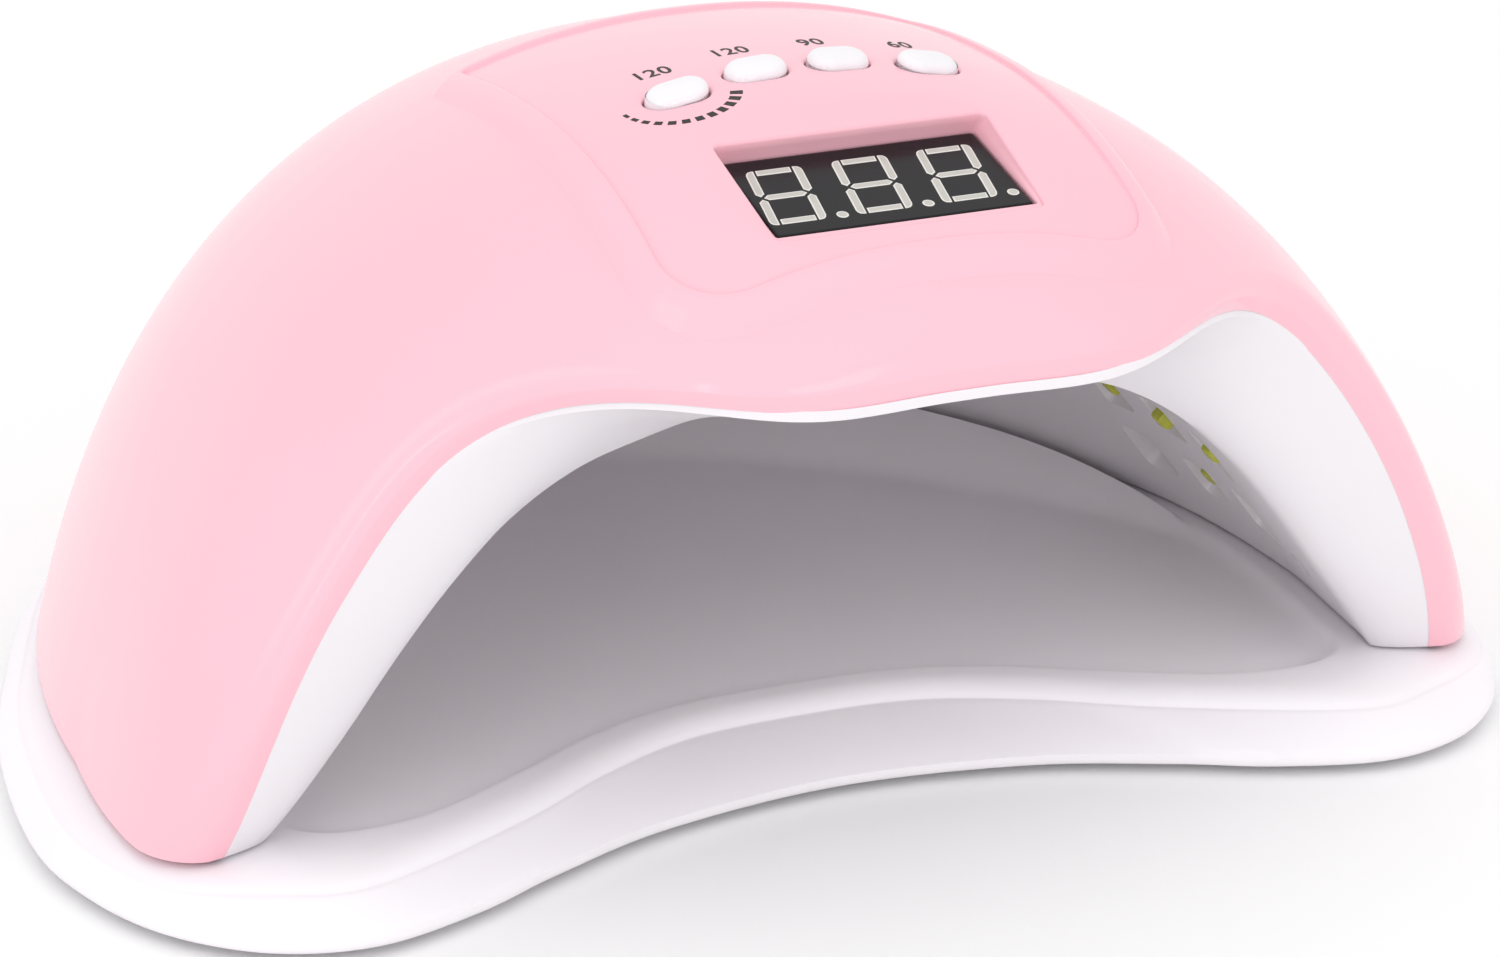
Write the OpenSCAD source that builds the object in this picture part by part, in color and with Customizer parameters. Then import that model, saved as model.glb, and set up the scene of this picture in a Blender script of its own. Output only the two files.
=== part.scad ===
// UV LED nail curing lamp: domed gloss cover over a white reflector, on a loose dished base plate.
// Millimetres. +Z up, front (hand opening) towards -Y. The origin is the middle of the footprint, on the table.

/* [Dome cover] */
// Half width of the dome at its widest level
dome_half_w = 107.7; // [104:0.1:110]
// Height of the dome's crown above the table
dome_top = 104; // [102:0.5:106]
// Run of the dome in front of its crown
dome_front = 106.4; // [104:0.2:110]
// Run of the dome behind its crown
dome_back = 146; // [140:1:150]
// Wall thickness of the cover
wall = 2.2; // [1.8:0.1:2.6]
// How far the visor reaches out over the opening
visor_reach = 31.6; // [26:0.2:34]
// Depth of the rolled lip along the front edge
lip_roll = 2.6; // [1.5:0.1:3.5]

/* [Hand opening] */
// Half width of the opening at the floor
mouth_half_w = 86; // [82:0.5:88]
// Height of the opening's crown above the table
mouth_top = 64.5; // [60:0.5:66]
// Half width of the chamber behind the opening
chamber_half_w = 89.5; // [86:0.5:90]
// Wall thickness of the white liner
liner_wall = 1.8; // [1.4:0.1:2]

/* [Control panel] */
// Half width of the raised panel border, to its centre line
panel_half_w = 37; // [35:0.5:39]
// Height of the border above the dome
border_rise = 1.6; // [1:0.1:2]
// Tilt of the control board and the buttons
board_tilt = 11.5; // [8:0.5:14]
// Tilt of the display
disp_tilt = 13.5; // [11:0.5:15]
// Width of the three-digit display module
disp_w = 37.7; // [36:0.1:38]
// Height of the display module with its front film
disp_h = 19.9; // [19:0.1:20.4]
// Spacing of the four buttons
button_pitch = 13; // [12.6:0.1:13.4]
// Length of a button cap across the panel
cap_l = 9; // [8.4:0.1:9.4]
// Width of a button cap
cap_w = 6; // [5.4:0.1:6.4]
// How far a cap stands out of the panel
cap_proud = 1.7; // [1.4:0.1:2]

/* [Base plate] */
// Level of the shell's seat on the base plate
seat_z = 10; // [9.5:0.1:10.2]
// Thickness of the floor of the base plate
floor_t = 3; // [2.4:0.1:3.4]
// Height of the rubber feet below the plate
foot_h = 1.6; // [1.2:0.1:2]

/* [Hidden] */

$fn = 32;
y_mid = -42.5;            // moves the working frame (display side) to the middle of the footprint
zb = 10.4;                // bottom of the dome cover
yc = 4;                   // crown of the dome, fore and aft
z0 = -40;                 // centre level of the dome's ellipse
H = dome_top - z0;
p1 = 2.1;                 // plan exponent of the dome
p2 = 2.25;                // profile exponent of the dome

// ---------- dome surface ----------
function lvl(z, e) = pow(1 - pow((z - z0) / (H - e), p2), 1 / p2);
function yn(y, e) = abs(y - yc) / (y < yc ? dome_front - e : dome_back - e);
function flare(t, y) = 2.2 * pow(t, 6) * min(1, max(0, (15 - y) / 30));
// point at arch position t (0 crown, 1 foot) on side s, in the section at y, e inside the dome
function sec(t, s, y, e) = let(n = yn(y, e), zt = z0 + (H - e) * pow(max(0, 1 - pow(n, p2)), 1 / p2),
    z = zb + (zt - zb) * cos(90 * t))
  [s * ((dome_half_w - e) * pow(max(0, pow(lvl(z, e), p1) - pow(n, p1)), 1 / p1) + flare(t, y)), y, z];
function dome_z(x, y) = z0 + H * pow(1 - pow(pow(pow(abs(x) / dome_half_w, p1) + pow(yn(y, 0), p1), 1 / p1), p2), 1 / p2);
function back_y(e) = yc + (dome_back - e) * lvl(zb, e);
// front edge of the cover: a visor in the middle, hollow shoulders, feet that come forward
function edge_y(t) = -30.4 - visor_reach / (1 + pow(t / 0.38, 5)) + 6 * pow(t, 12);
function lip_w(t) = 6 + 5 * pow(t, 8);
// the lip rolls under at the middle and the sides and runs flat at the shoulders of the visor
function lip_e(t, q) = (lip_roll - 3 * exp(-pow((t - 0.25) / 0.1, 2)) + 3 * pow(t, 8)) * (1 - sqrt(max(0, 1 - pow(1 - q, 2))));

// grid of rows (front to back) by arch positions, closed with a pole at the back
nu = 52;
lipq = [0, 0.06, 0.2, 0.45, 0.75, 1];
nb = 18;
function us(i) = let(k = 2 * i / nu - 1) [abs(k), k < 0 ? -1 : 1];
function shell_rows(e, dy) = concat(
  [for (j = [0:len(lipq) - 1]) [for (i = [0:nu]) let(u = us(i), q = lipq[j])
    sec(u[0], u[1], edge_y(u[0]) + dy + lip_w(u[0]) * q, e + lip_e(u[0], q))]],
  [for (j = [1:nb - 1]) [for (i = [0:nu]) let(u = us(i), ya = edge_y(u[0]) + dy + lip_w(u[0]))
    sec(u[0], u[1], ya + (back_y(e) - ya) * sin(90 * j / nb), e)]]);
function flat(v) = [for (a = v) for (b = a) b];

// closed solid between two surfaces of rows, each ending in a pole
module skin(ro, ri, po, pi) {
  n = len(ro[0]); m = len(ro); o = m * n + 1;
  pts = concat(flat(ro), [po], flat(ri), [pi]);
  f = concat(
    flat([for (j = [0:m - 2]) flat([for (i = [0:n - 2]) [
      [j * n + i, (j + 1) * n + i + 1, j * n + i + 1], [j * n + i, (j + 1) * n + i, (j + 1) * n + i + 1],
      [o + j * n + i, o + j * n + i + 1, o + (j + 1) * n + i + 1], [o + j * n + i, o + (j + 1) * n + i + 1, o + (j + 1) * n + i]]])]),
    flat([for (i = [0:n - 2]) [[(m - 1) * n + i, m * n, (m - 1) * n + i + 1], [o + (m - 1) * n + i, o + (m - 1) * n + i + 1, o + m * n]]]),
    flat([for (i = [0:n - 2]) [[i, i + 1, o + i + 1], [i, o + i + 1, o + i]]]),
    flat([for (j = [0:m - 2]) [[j * n, o + j * n, o + (j + 1) * n], [j * n, o + (j + 1) * n, (j + 1) * n]]]),
    [[(m - 1) * n, o + (m - 1) * n, o + m * n], [(m - 1) * n, o + m * n, m * n]],
    flat([for (j = [0:m - 2]) let(k = n - 1) [[j * n + k, o + (j + 1) * n + k, o + j * n + k], [j * n + k, (j + 1) * n + k, o + (j + 1) * n + k]]]),
    [[(m - 1) * n + n - 1, o + m * n, o + (m - 1) * n + n - 1], [(m - 1) * n + n - 1, m * n, o + m * n]]);
  polyhedron(pts, f, convexity = 8);
}

// ---------- liner surface ----------
// arch of the opening, half, from the crown to the foot, with one guide point beyond each end
arch_h = [[-10, 64.35], [0, 64.5], [10, 64.35], [20.5, 63.6], [31, 61.4], [41, 58.4], [50.5, 52.9], [59.5, 44.7], [67.5, 35.3], [74, 26.5], [80, 18.5], [86, 10.4], [92, 2.3]];
function prof(t) = let(k = min(9, floor(t * 10)), q = cr(arch_h[k], arch_h[k + 1], arch_h[k + 2], arch_h[k + 3], t * 10 - k)) [q[0] / 86, (q[1] - 10.4) / 54.1];
lz = 10.4;                // bottom of the liner
ly = 118;                 // back of the chamber
function shrink(y, y1, y2, k) = pow(max(0, 1 - pow(max(0, y - y1) / (y2 - y1), k)), 1 / k);
function arch(t, s, y, a, top, e) = let(q = prof(t)) [s * (a + e) * q[0], y, lz + (top + e - lz) * q[1]];
// inner edge of the white band round the opening
function mouth_y(t) = -23 + 3 * pow(t, 8);
function mouth(t, s, e) = arch(t, s, mouth_y(t), mouth_half_w, mouth_top, e);
function chamber(t, s, y, e) = let(k = min(1, (y + 22) / 30), a = mouth_half_w + (chamber_half_w - mouth_half_w) * k)
  arch(t, s, y, a * shrink(y, 12, ly + e, 2.3), lz + (mouth_top + 1.5 * k - lz) * shrink(y, 12, ly + e, 2.6), e * shrink(y, 12, ly + e, 2.3));
function lip_pt(t, s, e) = sec(t, s, edge_y(t) + 0.5 + e * 0.3, wall + 0.3 + lip_e(t, 0));
function mixp(a, b, k) = a * (1 - k) + b * k;
function band(t, s, k, e) = let(A = lip_pt(t, s, 0), M = mouth(t, s, e), g = smooth(0.3, 0.62, t), C = mixp([(A[0] + M[0]) / 2, (A[1] + M[1]) / 2, (A[2] + M[2]) / 2 + 1.5], [M[0] + (A[0] - M[0]) * 0.12, A[1] + 2 + e, M[2] + (A[2] - M[2]) * 0.12], g),
    A2 = [A[0], A[1] + e, A[2]])
  A2 * pow(1 - k, 2) + C * 2 * k * (1 - k) + M * k * k;
nl = 36;
function uls(i) = let(k = 2 * i / nl - 1) [abs(k), k < 0 ? -1 : 1];
function liner_rows(e) = concat(
  [for (k = [0, 0.2, 0.45, 0.72, 1]) [for (i = [0:nl]) let(u = uls(i)) band(u[0], u[1], k, e)]],
  [for (j = [1:11]) [for (i = [0:nl]) let(u = uls(i), ya = mouth_y(u[0])) chamber(u[0], u[1], ya + (ly + e - ya) * sin(90 * j / 12), e)]]);

// ---------- frames ----------
yd = -30.3; zd = 95.3;    // centre of the display face
module disp_frame() { translate([0, -29.8, 95.5]) rotate([disp_tilt, 0, 0]) children(); }
module rim_frame() { translate([0, -30.95, 97.1]) rotate([19.9, 0, 0]) children(); }
module board_frame() { translate([0, yd, zd]) rotate([board_tilt, 0, 0]) children(); }
board_h = -9.6;           // top of the control board below the display face
btn_s = [26.2, 28.7, 28.7, 26.2]; // buttons, up the slope of the board
btn_x = [-1.46, -0.48, 0.48, 1.46];
function to_h(x, s) = let(y = yd + s * cos(board_tilt), z = dome_z(x, y) + 1.0) -(y - yd) * sin(board_tilt) + (z - zd) * cos(board_tilt);
function btn_h(i) = to_h(btn_x[i] * button_pitch, btn_s[i]);

// LED boards: [origin, rotation, length along y, width, LED places]
side_org = [78.6, 18, 33.5];
side_rot = 228.5;
roof_org = [0, 20, 70.2];
rear_org = [0, 112.4, 45.6];
rear_rot = 131.3;
led_side = [[7, 17], [7, 0], [7, -16], [-8, 19], [-8, 2], [-8, -14]];
led_roof = [[-14, -18], [0, -18], [14, -18], [-14, 2], [0, 2], [14, 2], [-14, 22], [0, 22], [14, 22]];
led_rear = [[-18, 0], [-6, 0], [6, 0], [18, 0]];
ir_xy = [-13, -24];
module side_frame(s) { mirror([s < 0 ? 1 : 0, 0, 0]) translate(side_org) rotate([0, side_rot, 0]) children(); }
module roof_frame() { translate(roof_org) rotate([180, 0, 0]) children(); }
module rear_frame() { translate(rear_org) rotate([rear_rot, 0, 0]) children(); }
module at_leds() {
  for (s = [-1, 1]) side_frame(s) for (p = led_side) translate([p[0], p[1], 0]) children();
  roof_frame() for (p = led_roof) translate([p[0], p[1], 0]) children();
  rear_frame() for (p = led_rear) translate([p[0], p[1], 0]) children();
}

// ---------- outlines ----------
function cr(a, b, c, d, t) = 0.5 * (2 * b + (c - a) * t + (2 * a - 5 * b + 4 * c - d) * t * t + (3 * b - a - 3 * c + d) * t * t * t);
// smooth closed outline from the right half's points, first and last on the centre line
function whole(h) = concat(h, [for (i = [len(h) - 2:-1:1]) [-h[i][0], h[i][1]]]);
function loop_pts(h, n) = let(w = whole(h), m = len(w)) [for (i = [0:m - 1]) for (k = [0:n - 1]) cr(w[(i + m - 1) % m], w[i], w[(i + 1) % m], w[(i + 2) % m], k / n)];
base_h = [[0, -18.5], [28, -22.5], [48, -30.5], [62, -37.5], [78, -42], [92, -38.5], [103, -28], [109.5, -13], [112, 6], [108, 37], [100, 63], [88.5, 91], [71, 119], [47, 139], [20, 147], [0, 148]];
crease_h = [[0, -5], [18, -6.5], [34, -13.5], [50, -23.5], [76, -35.4], [90, -32.5], [102, -25.5], [107.5, -13], [109, 4], [105, 36], [97, 61.5], [85.5, 89.5], [68.5, 116], [45, 135.5], [19, 143.5], [0, 144.5]];
base_o = loop_pts(base_h, 3);
crease_o = loop_pts(crease_h, 3);
nr = len(base_o);
bank_h = [[0, 2], [17, 1], [32, -4], [46, -12], [62, -20], [75, -21.5], [82, -17], [83.8, -8], [85.2, 4], [86.2, 28], [81.9, 52], [71.5, 74.6], [54.6, 95.7], [35.9, 108.7], [15.7, 114], [0, 115]];
bank_o = loop_pts(bank_h, 3);
floor_c = [0, 45];
function smooth(a, b, v) = let(k = min(1, max(0, (v - a) / (b - a)))) k * k * (3 - 2 * k);
// sloping bank of the floor, behind an arc from wall to wall
function ramp(x, y) = let(r = pow(abs(x) / 86, 1.5) + pow(max(0, y - 22) / 86, 1.5)) y < 16 ? 0 : max(0, pow(r, 0.667) - 1) * 40 * smooth(16, 40, y);
function floor_z(x, y) = 8.6 + ramp(x, y);

// ---------- parts ----------
function at(o, k, z) = [for (p = o) let(q = floor_c + (p - floor_c) * k) [q[0], q[1], z]];
function lay(o, k, dz) = [for (p = o) let(q = floor_c + (p - floor_c) * k) [q[0], q[1], floor_z(q[0], q[1]) + dz]];
function mixo(a, b, k, z) = [for (i = [0:nr - 1]) let(q = mixp(a[i], b[i], k)) [q[0], q[1], z]];
module base_plate() color("whitesmoke") translate([0, y_mid, 0]) {
  difference() {
    capped(concat(
      [at(bank_o, 0.3, 8.6 - floor_t), lay(bank_o, 0.8, -floor_t), lay(bank_o, 0.94, -floor_t), at(bank_o, 0.96, 1.6),
        at(base_o, 0.985, 1.6), at(base_o, 1, 2.4), at(base_o, 1, 3.2), mixo(base_o, crease_o, 0.5, 6), mixo(base_o, crease_o, 1, 8.2),
        mixo(crease_o, bank_o, 0.12, 9), mixo(crease_o, bank_o, 0.3, 9.8), mixo(crease_o, bank_o, 0.55, seat_z), mixo(crease_o, bank_o, 0.97, seat_z)],
      [[for (p = bank_o) [p[0], p[1], max(seat_z - 0.2, floor_z(p[0], p[1]) - 0.4)]]],
      [[for (p = bank_o) let(q = floor_c + (p - floor_c) * 0.988) [q[0], q[1], max(floor_z(q[0], q[1]), min(9.4, floor_z(q[0], q[1]) + 0.8))]]],
      [for (k = [0.95, 0.88, 0.8, 0.72, 0.6, 0.45, 0.3]) lay(bank_o, k, 0)]));
    for (p = magnet_xy) translate([p[0], p[1], 6]) cylinder(h = 6, r = magnet_r + 0.1);
  }
}
// solid through closed rings, with flat ends
module capped(r) {
  m = len(r); n = len(r[0]);
  polyhedron(flat(r), concat([[for (i = [0:n - 1]) i]], [[for (i = [n - 1:-1:0]) (m - 1) * n + i]],
    flat([for (j = [0:m - 2]) flat([for (i = [0:n - 1]) let(a = j * n + i, b = j * n + (i + 1) % n, c = a + n, d = b + n) [[a, c, b], [b, c, d]]])])), convexity = 8);
}
// solid swept through closed rings; the last ring joins the first
module rings(r) {
  m = len(r); n = len(r[0]);
  polyhedron(flat(r), flat([for (j = [0:m - 1]) flat([for (i = [0:n - 1]) let(a = j * n + i, b = j * n + (i + 1) % n, c = ((j + 1) % m) * n + i, d = ((j + 1) % m) * n + (i + 1) % n)
    [[a, c, b], [b, c, d]]])]), convexity = 8);
}
magnet_xy = [[95.4, 0], [-95.4, 0], [84.5, 70], [-84.5, 70]];
magnet_r = 3.2;
module rubber_feet() color("dimgray") translate([0, y_mid, 0])
  for (p = [[82, -24], [-82, -24], [88, 60], [-88, 60], [38, 124], [-38, 124]]) translate([p[0], p[1], 0]) {
    cylinder(h = foot_h, r1 = 5.2, r2 = 6);
  }
module base_keeper_discs() color("silver") translate([0, y_mid, 0]) for (p = magnet_xy) translate([p[0], p[1], 6.1]) cylinder(h = 3.6, r = magnet_r);
module body_magnets() color("silver") translate([0, y_mid, 0]) for (p = magnet_xy) translate([p[0], p[1], 12.5]) cylinder(h = 3, r = magnet_r);

// panel border: rounded frame that follows the dome
function rr(w, y1, y2, rf, rb, n) = concat(
  [for (k = [0:n]) let(a = -90 + 90 * k / n) [w - rf + rf * cos(a), y1 + rf + rf * sin(a)]],
  [for (k = [0:n]) let(a = 90 * k / n) [w - rb + rb * cos(a), y2 - rb + rb * sin(a)]],
  [for (k = [0:n]) let(a = 90 + 90 * k / n) [-w + rb + rb * cos(a), y2 - rb + rb * sin(a)]],
  [for (k = [0:n]) let(a = 180 + 90 * k / n) [-w + rf + rf * cos(a), y1 + rf + rf * sin(a)]]);
function dens(v, n) = [for (i = [0:len(v) - 1]) for (k = [0:n - 1]) v[i] * (1 - k / n) + v[(i + 1) % len(v)] * (k / n)];
function frame_line(d) = let(v = rr(panel_half_w + d, -48.5 - d, 39 + d, 12 + d, 3 + d, 6))
  [for (i = [0:len(v) - 1]) let(a = v[i], b = v[(i + 1) % len(v)], m = norm(b - a) > 8 ? 6 : 1) for (k = [0:m - 1]) a + (b - a) * k / m];
module panel_border() {
  r = [for (d = [[-2, -1.5], [-2, border_rise - 0.3], [-1.4, border_rise], [0.8, border_rise], [2.4, -1.5]]) [for (p = frame_line(d[0])) [p[0], p[1], dome_z(p[0], p[1]) + d[1]]]];
  rings([r[4], r[3], r[2], r[1], r[0]]);
}
module plate(w, h, x0, dz) { translate([0, 0, dz]) cube([w, h, 0.02], center = true); }
module funnel(g) {
  hull() {
    rim_frame() plate(40 + 2 * g, 22 + 2 * g, 0, g > 0 ? -0.4 : 0.3);
    disp_frame() plate(disp_w + 0.5 + 2 * g, disp_h + 0.5 + 2 * g, 0, g > 0 ? 0.1 : -0.6);
  }
  if (g == 0) {
    rim_frame() translate([-20, -11, 0.2]) cube([40, 22, 7]);
    disp_frame() translate([-disp_w / 2 - 0.25, -disp_h / 2 - 0.25, -8]) cube([disp_w + 0.5, disp_h + 0.5, 8]);
  }
}
module oval(l, w, h) linear_extrude(height = h) for (s = [-1, 1]) { translate([s * (l - w) / 2, 0]) circle(d = w, $fn = 24); translate([0, 0]) square([l - w, w], center = true); }
boss_xy = [[96.4, 18], [-96.4, 18], [66, 99], [-66, 99]];
function low_z(x, y, r) = min([for (a = [0:30:330]) dome_z(x + r * cos(a), y + r * sin(a))]);
board_xs = [[-29.5, -10.5], [29.5, -10.5], [-29.5, 44.5], [29.5, 44.5]];
module top_shell() color("pink") translate([0, y_mid, 0]) {
  minkowski() {
    difference() {
      union() {
        skin(shell_rows(0, 0), shell_rows(wall, 0.5), [0, back_y(0), zb], [0, back_y(wall), zb]);
        intersection() {
          panel_border();
          translate([-60, -70, 60]) cube([120, 130, 60]);
        }
        funnel(1.6);
        for (p = boss_xy) translate([p[0], p[1], 12.7]) cylinder(h = low_z(p[0], p[1], 3.6) - 0.9 - 12.7, r = 3.6, $fn = 20);
        board_frame() for (p = board_xs) translate([p[0], p[1], board_h + 0.05]) cylinder(h = to_h(p[0], p[1]) - 2.4 - board_h, r = 3.2, $fn = 20);
      }
      funnel(0);
      for (p = boss_xy) translate([p[0], p[1], 12]) cylinder(h = 7.5, r = 1.5, $fn = 16);
      board_frame() for (p = board_xs) translate([p[0], p[1], board_h - 1]) cylinder(h = 6, r = 1.45, $fn = 16);
      for (i = [0:3]) board_frame() translate([btn_x[i] * button_pitch, btn_s[i], btn_h(i) - 8]) oval(cap_l + 0.7, cap_w + 0.7, 14);
      translate([0, 150, 24]) rotate([90, 0, 0]) cylinder(h = 30, r = 4.2);
    }
  }
}
module flange() difference() {
  linear_extrude(height = 2) polygon(concat(
    [for (i = [0:40]) let(t = i / 40, y = -15 + (back_y(wall + 1) + 14.9) * sin(90 * t), q = sec(1, 1, y, wall + 1)) [q[0], q[1]]],
    [for (i = [40:-1:0]) let(t = i / 40, y = -15 + (back_y(wall + 1) + 14.9) * sin(90 * t), q = sec(1, -1, y, wall + 1)) [q[0], q[1]]],
    [for (i = [0:40]) let(t = i / 40, q = chamber(1, -1, -15 + (ly + 15.5) * sin(90 * t), 0.9)) [q[0], q[1]]],
    [for (i = [40:-1:0]) let(t = i / 40, q = chamber(1, 1, -15 + (ly + 15.5) * sin(90 * t), 0.9)) [q[0], q[1]]]));
  for (p = boss_xy) translate([p[0], p[1], -1]) { cylinder(h = 4, r = 1.6); cylinder(h = 2, r = 2.5); }
}
module inner_liner() color("white") translate([0, y_mid, 0]) {
  minkowski() {
    difference() {
      union() {
        skin(liner_rows(liner_wall), liner_rows(0), [0, ly + liner_wall, lz], [0, ly, lz]);
        translate([0, 0, lz]) flange();
      }
      at_leds() cylinder(h = 14, r = 3, $fn = 16);
      for (s = [-1, 1]) side_frame(s) translate([ir_xy[0], ir_xy[1], 0]) cylinder(h = 14, r = 2.2, $fn = 16);
    }
  }
}
module display_module() color("black") translate([0, y_mid, 0]) disp_frame() translate([-disp_w / 2, -disp_h / 2, -8]) cube([disp_w, disp_h, 8]);
// one digit: seven bars and a point, each a thin inlay on the display face
module digit() {
  sk = 0.14;
  for (y = [-6.3, 0, 6.3]) translate([y * sk, y, 0]) linear_extrude(height = 0.12) polygon([[-3.1, 0], [-2.5, 0.65], [2.5, 0.65], [3.1, 0], [2.5, -0.65], [-2.5, -0.65]]);
  for (x = [-3.5, 3.5], y = [-3.15, 3.15]) translate([x, 0, 0]) linear_extrude(height = 0.12)
    polygon([for (p = [[0, -2.85], [0.65, -2.25], [0.65, 2.25], [0, 2.85], [-0.65, 2.25], [-0.65, -2.25]]) [p[0] + (y + p[1]) * sk, y + p[1]]]);
  translate([5.3, -6.4, 0]) cylinder(h = 0.12, r = 0.75);
}
module display_segments() color("lightgray") translate([0, y_mid, 0]) disp_frame() translate([0, 0, 0.02]) for (i = [-1:1]) translate([i * 12.65 - 0.8, 0, 0]) digit();

module cap(i) color("white") translate([0, y_mid, 0]) board_frame() translate([btn_x[i] * button_pitch, btn_s[i], 0]) {
  h = btn_h(i);
  r = btn_x[i] * 7.5;
  translate([0, 0, h - 5.6]) oval(cap_l + 2, cap_w + 2, 0.9);
  hull() {
    for (s = [-1, 1]) translate([s * (cap_l - cap_w) / 2, 0, h - 5.2]) cylinder(h = 5.4, r = cap_w / 2);
    for (s = [-1, 1]) translate([s * (cap_l - cap_w) / 2, 0, h + cap_proud - 1.5 - s * (cap_l - cap_w) / 2 * tan(r)]) scale([1, 1, 1]) sphere(r = 1.5);
    for (s = [-1, 1]) translate([s * (cap_l - cap_w) / 2, 0, h + cap_proud - 1.3 - s * (cap_l - cap_w) / 2 * tan(r)]) cylinder(h = 0.5, r1 = cap_w / 2 - 0.1, r2 = cap_w / 2 - 0.5);
  }
}
module plunger(i) color("black") translate([0, y_mid, 0]) board_frame() translate([btn_x[i] * button_pitch, btn_s[i], board_h + 1.9]) cylinder(h = btn_h(i) - 5.6 - board_h - 1.9, r = 1.6);
module button_low_heat() cap(0);
module button_120s() cap(1);
module button_90s() cap(2);
module button_60s() cap(3);
module plunger_low_heat() plunger(0);
module plunger_120s() plunger(1);
module plunger_90s() plunger(2);
module plunger_60s() plunger(3);
module tact_switches() color("silver") translate([0, y_mid, 0]) board_frame() for (i = [0:3]) translate([btn_x[i] * button_pitch, btn_s[i], board_h]) difference() {
  translate([-3, -3, 0]) cube([6, 6, 3.5]);
  translate([0, 0, 1]) cylinder(h = 4, r = 1.9);
}
module control_board() color("darkgreen") translate([0, y_mid, 0]) board_frame() difference() {
  translate([-33, -14, board_h - 1.6]) cube([66, 62, 1.6]);
  for (p = board_xs) translate([p[0], p[1], board_h - 3]) cylinder(h = 5, r = 1.6);
}
module mcu_chip() color("black") translate([0, y_mid, 0]) board_frame() translate([-5, 12, board_h - 3.6]) cube([10, 6, 2]);
module electrolytic_capacitors() color("slategray") translate([0, y_mid, 0]) board_frame() for (x = [-22, -10]) translate([x, 38, board_h - 1.6 - 10]) cylinder(h = 10, r = 4);
module power_inductor() color("dimgray") translate([0, y_mid, 0]) board_frame() translate([8, 38, board_h - 1.6 - 5]) { cylinder(h = 5, r = 5); }
module board_connectors() color("ivory") translate([0, y_mid, 0]) board_frame() for (x = [-26, 18]) translate([x, 24, board_h - 1.6 - 5.5]) cube([8, 6, 5.5]);

module led_board_right() color("ghostwhite") translate([0, y_mid, 0]) side_frame(1) side_board();
module led_board_left() color("ghostwhite") translate([0, y_mid, 0]) side_frame(-1) side_board();
side_holes = [[-13, 9], [12, 9]];
module side_board() difference() {
  translate([-16, -27, -1.2]) cube([31, 51, 1.2]);
  for (p = side_holes) translate([p[0], p[1], -2]) cylinder(h = 3, r = 1.3);
}
roof_holes = [[-21, 28], [21, 28], [-21, -8], [21, -8]];
module led_board_roof() color("ghostwhite") translate([0, y_mid, 0]) roof_frame() difference() {
  translate([-24, -26, -1.2]) cube([48, 58, 1.2]);
  for (p = roof_holes) translate([p[0], p[1], -2]) cylinder(h = 3, r = 1.3);
}
module led_board_rear() color("ghostwhite") translate([0, y_mid, 0]) rear_frame() difference() {
  translate([-24, -4.5, -1.2]) cube([48, 9, 1.2]);
  for (x = [-12, 12]) translate([x, 0, -2]) cylinder(h = 3, r = 1.3);
}
module uv_leds() color("palegoldenrod") translate([0, y_mid, 0]) at_leds() { translate([0, 0, 0.6]) cube([3.6, 3.6, 1.2], center = true); translate([0, 0, 1.2]) cylinder(h = 0.8, r1 = 1.6, r2 = 1.2); }
module ir_part() { cylinder(h = 3.4, r = 1.5); cylinder(h = 0.8, r = 1.9); }
module ir_emitter() color("darkslategray") translate([0, y_mid, 0]) side_frame(1) translate([ir_xy[0], ir_xy[1], 0]) ir_part();
module ir_receiver() color("black") translate([0, y_mid, 0]) side_frame(-1) translate([ir_xy[0], ir_xy[1], 0]) ir_part();
jack_z = 24;
module dc_jack() color("black") translate([0, y_mid, jack_z]) {
  difference() {
    union() {
      translate([-5.5, 122.4, -5]) cube([11, 12, 9]);
      translate([0, 134.4, 0]) rotate([-90, 0, 0]) cylinder(h = 5.2, r = 4);
    }
    translate([0, 130.1, 0]) rotate([-90, 0, 0]) cylinder(h = 12, r = 2.8);
  }
  translate([0, 129.6, 0]) rotate([-90, 0, 0]) cylinder(h = 9, r = 1.05);
}
module screw(l, r, hr) { cylinder(h = 1.6, r = hr); translate([0, 0, 1.6]) cylinder(h = l, r = r); }
module case_screws() color("gray") translate([0, y_mid, 0]) for (p = boss_xy) translate([p[0], p[1], 10.55]) { cylinder(h = 0.8, r = 2.2); cylinder(h = 8, r = 1.4); }
module board_screws() color("gray") translate([0, y_mid, 0]) board_frame() for (p = board_xs) translate([p[0], p[1], board_h - 1.6 - 1.6]) screw(5, 1.3, 2.4);
module led_board_screws() color("gray") translate([0, y_mid, 0]) {
  for (s = [-1, 1]) side_frame(s) for (p = side_holes) translate([p[0], p[1], -2.8]) screw(1.9, 1.1, 2);
  roof_frame() for (p = roof_holes) translate([p[0], p[1], -2.8]) screw(1.9, 1.1, 2);
  rear_frame() for (x = [-12, 12]) translate([x, 0, -2.8]) screw(1.9, 1.1, 2);
}
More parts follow.
